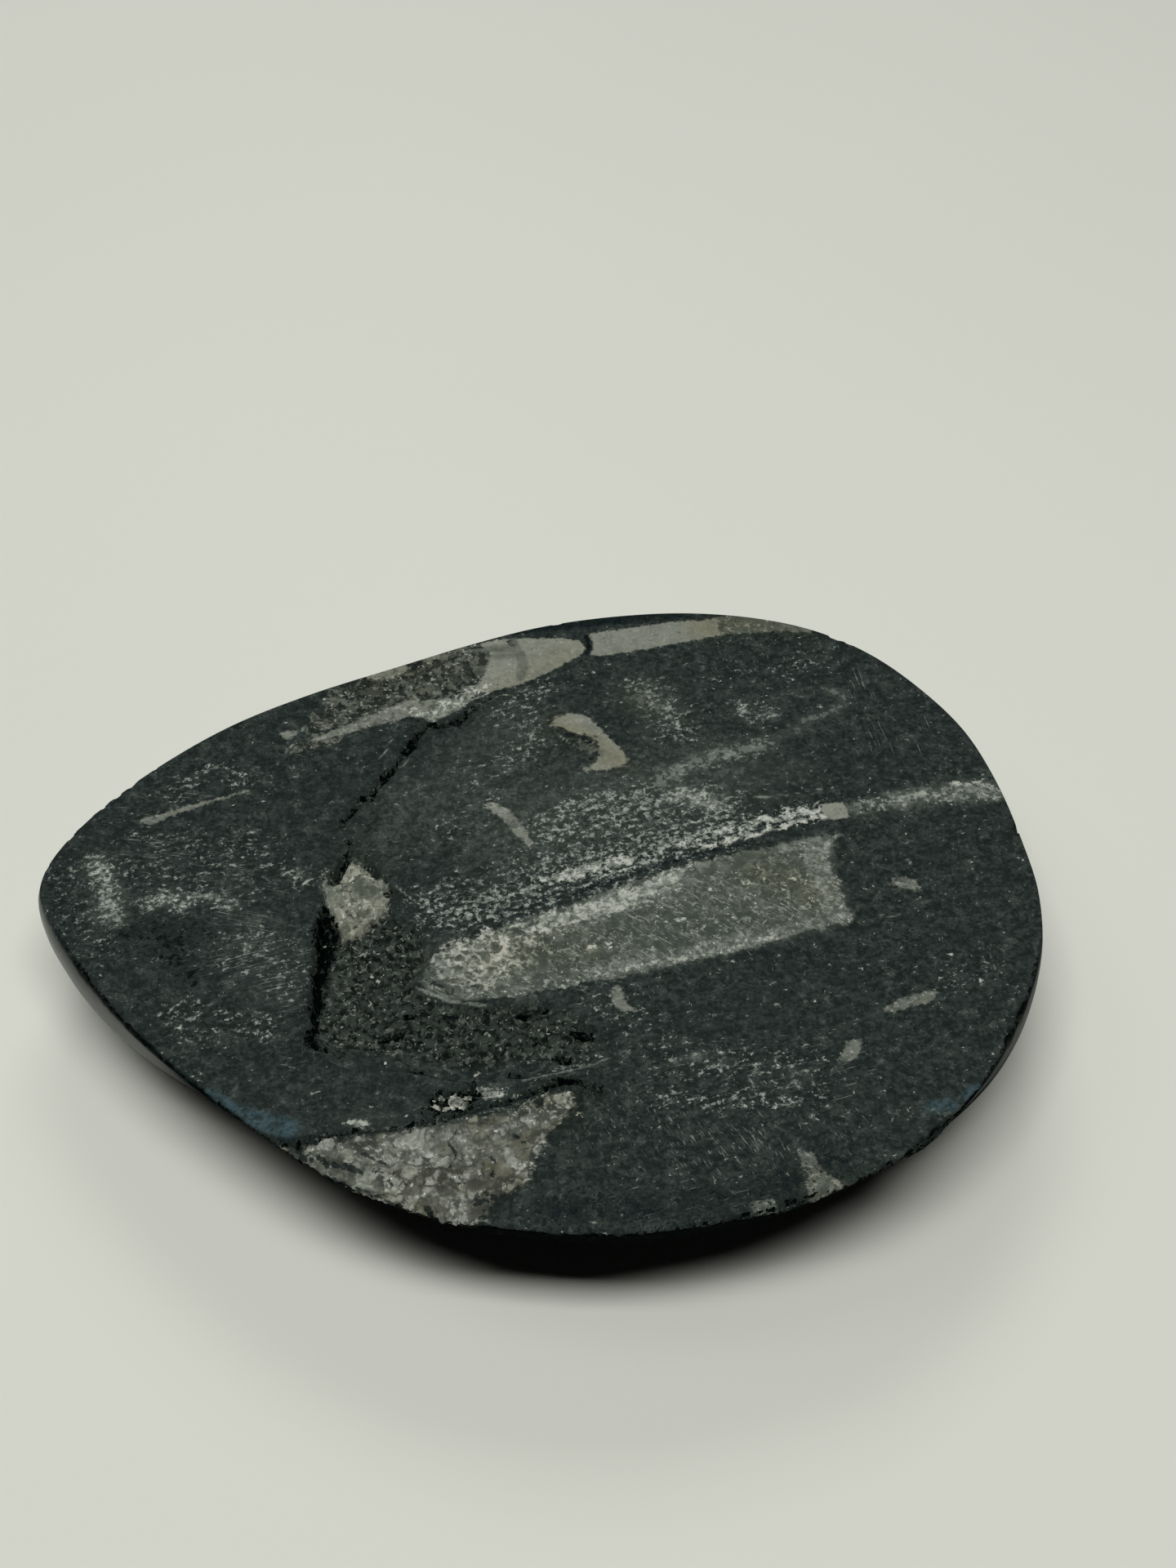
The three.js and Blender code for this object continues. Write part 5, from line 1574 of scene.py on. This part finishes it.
def crystals():
    """The small calcite blocks as one mesh, ground off level with the face."""
    seats, turns, sizes = crystal_seats()
    cloud = bpy.data.meshes.new("crystal_seats")
    cloud.from_pydata((seats * MM).tolist(), [], [])
    set_numbers(cloud, "turn", "FLOAT_VECTOR", turns)
    set_numbers(cloud, "size", "FLOAT_VECTOR", sizes)
    holder = put("crystal_seats", cloud)
    blocks = holder.modifiers.new("calcite blocks", "NODES")
    blocks.node_group, lean = crystal_nodes(calcite_crystals())
    blocks[lean] = 0.35
    holder.update_tag()
    ready = holder.evaluated_get(bpy.context.evaluated_depsgraph_get())
    mesh = bpy.data.meshes.new_from_object(ready)
    bpy.data.objects.remove(holder)
    corners = np.zeros(len(mesh.vertices) * 3, np.float32)
    mesh.vertices.foreach_get("co", corners)
    corners[2::3] = np.minimum(corners[2::3], (FACE_Z - 0.01) * MM)
    mesh.vertices.foreach_set("co", corners)
    return put("calcite_crystals", mesh)


TABLE_HALF = 1.5              # metres
LAMP_AWAY = 0.9               # metres from the stone to each lamp
LAMP_TINT = (1, 1, 0.96)
VIEW_ANGLE = 40               # degrees across the frame's long side
VIEW_TILT = 43                # degrees that the camera looks up from straight down
VIEW_FROM = (0.00513, -0.14058, 0.18065)


def table():
    mesh = bpy.data.meshes.new("table")
    x = y = TABLE_HALF
    mesh.from_pydata([(-x, -y, 0), (x, -y, 0), (x, y, 0), (-x, y, 0)], [], [(0, 1, 2, 3)])
    mesh.materials.append(plain("pale table", (224, 226, 219), 0.75))
    return put("table", mesh)


def softbox(name, azimuth, elevation, size, power):
    """A flat lamp that faces the stone: its width lies level."""
    lamp = bpy.data.lights.new(name, "AREA")
    lamp.shape, lamp.size, lamp.size_y = "RECTANGLE", *size
    lamp.energy, lamp.color = power, LAMP_TINT
    holder = put(name, lamp)
    turn, lift = math.radians(azimuth), math.radians(elevation)
    level = math.cos(lift)
    away = mathutils.Vector((level * math.cos(turn), level * math.sin(turn), math.sin(lift)))
    holder.location = away * LAMP_AWAY
    holder.rotation_euler = away.to_track_quat("Z", "Y").to_euler()


def daylight(colour, strength):
    """Even light from all round."""
    world = bpy.data.worlds.new("room")
    world.use_nodes = True
    room = world.node_tree.nodes["Background"]
    room.inputs["Color"].default_value = (*colour, 1)
    room.inputs["Strength"].default_value = strength
    bpy.context.scene.world = world


def camera():
    lens = bpy.data.cameras.new("camera")
    lens.sensor_width = 36
    lens.lens = lens.sensor_width / 2 / math.tan(math.radians(VIEW_ANGLE / 2))
    lens.clip_start, lens.clip_end = 0.01, 10
    holder = put("camera", lens)
    holder.location = VIEW_FROM
    holder.rotation_euler = (math.radians(VIEW_TILT), 0, 0)
    bpy.context.scene.camera = holder


stone = fossil_stone()
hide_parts("fossil_stone")
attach(stone, "root")

calcite = crystals()
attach(calcite, "root")

table()
softbox("strip light", 267, 78, (0.7, 0.2), 5.95)
softbox("left window", 165, 58, (0.26, 0.6), 0.7)
softbox("back wall", 92, 44, (0.36, 0.3), 1.7)
daylight((0.98, 1.0, 0.95), 0.004)
camera()
bpy.context.scene.view_settings.view_transform = "Standard"
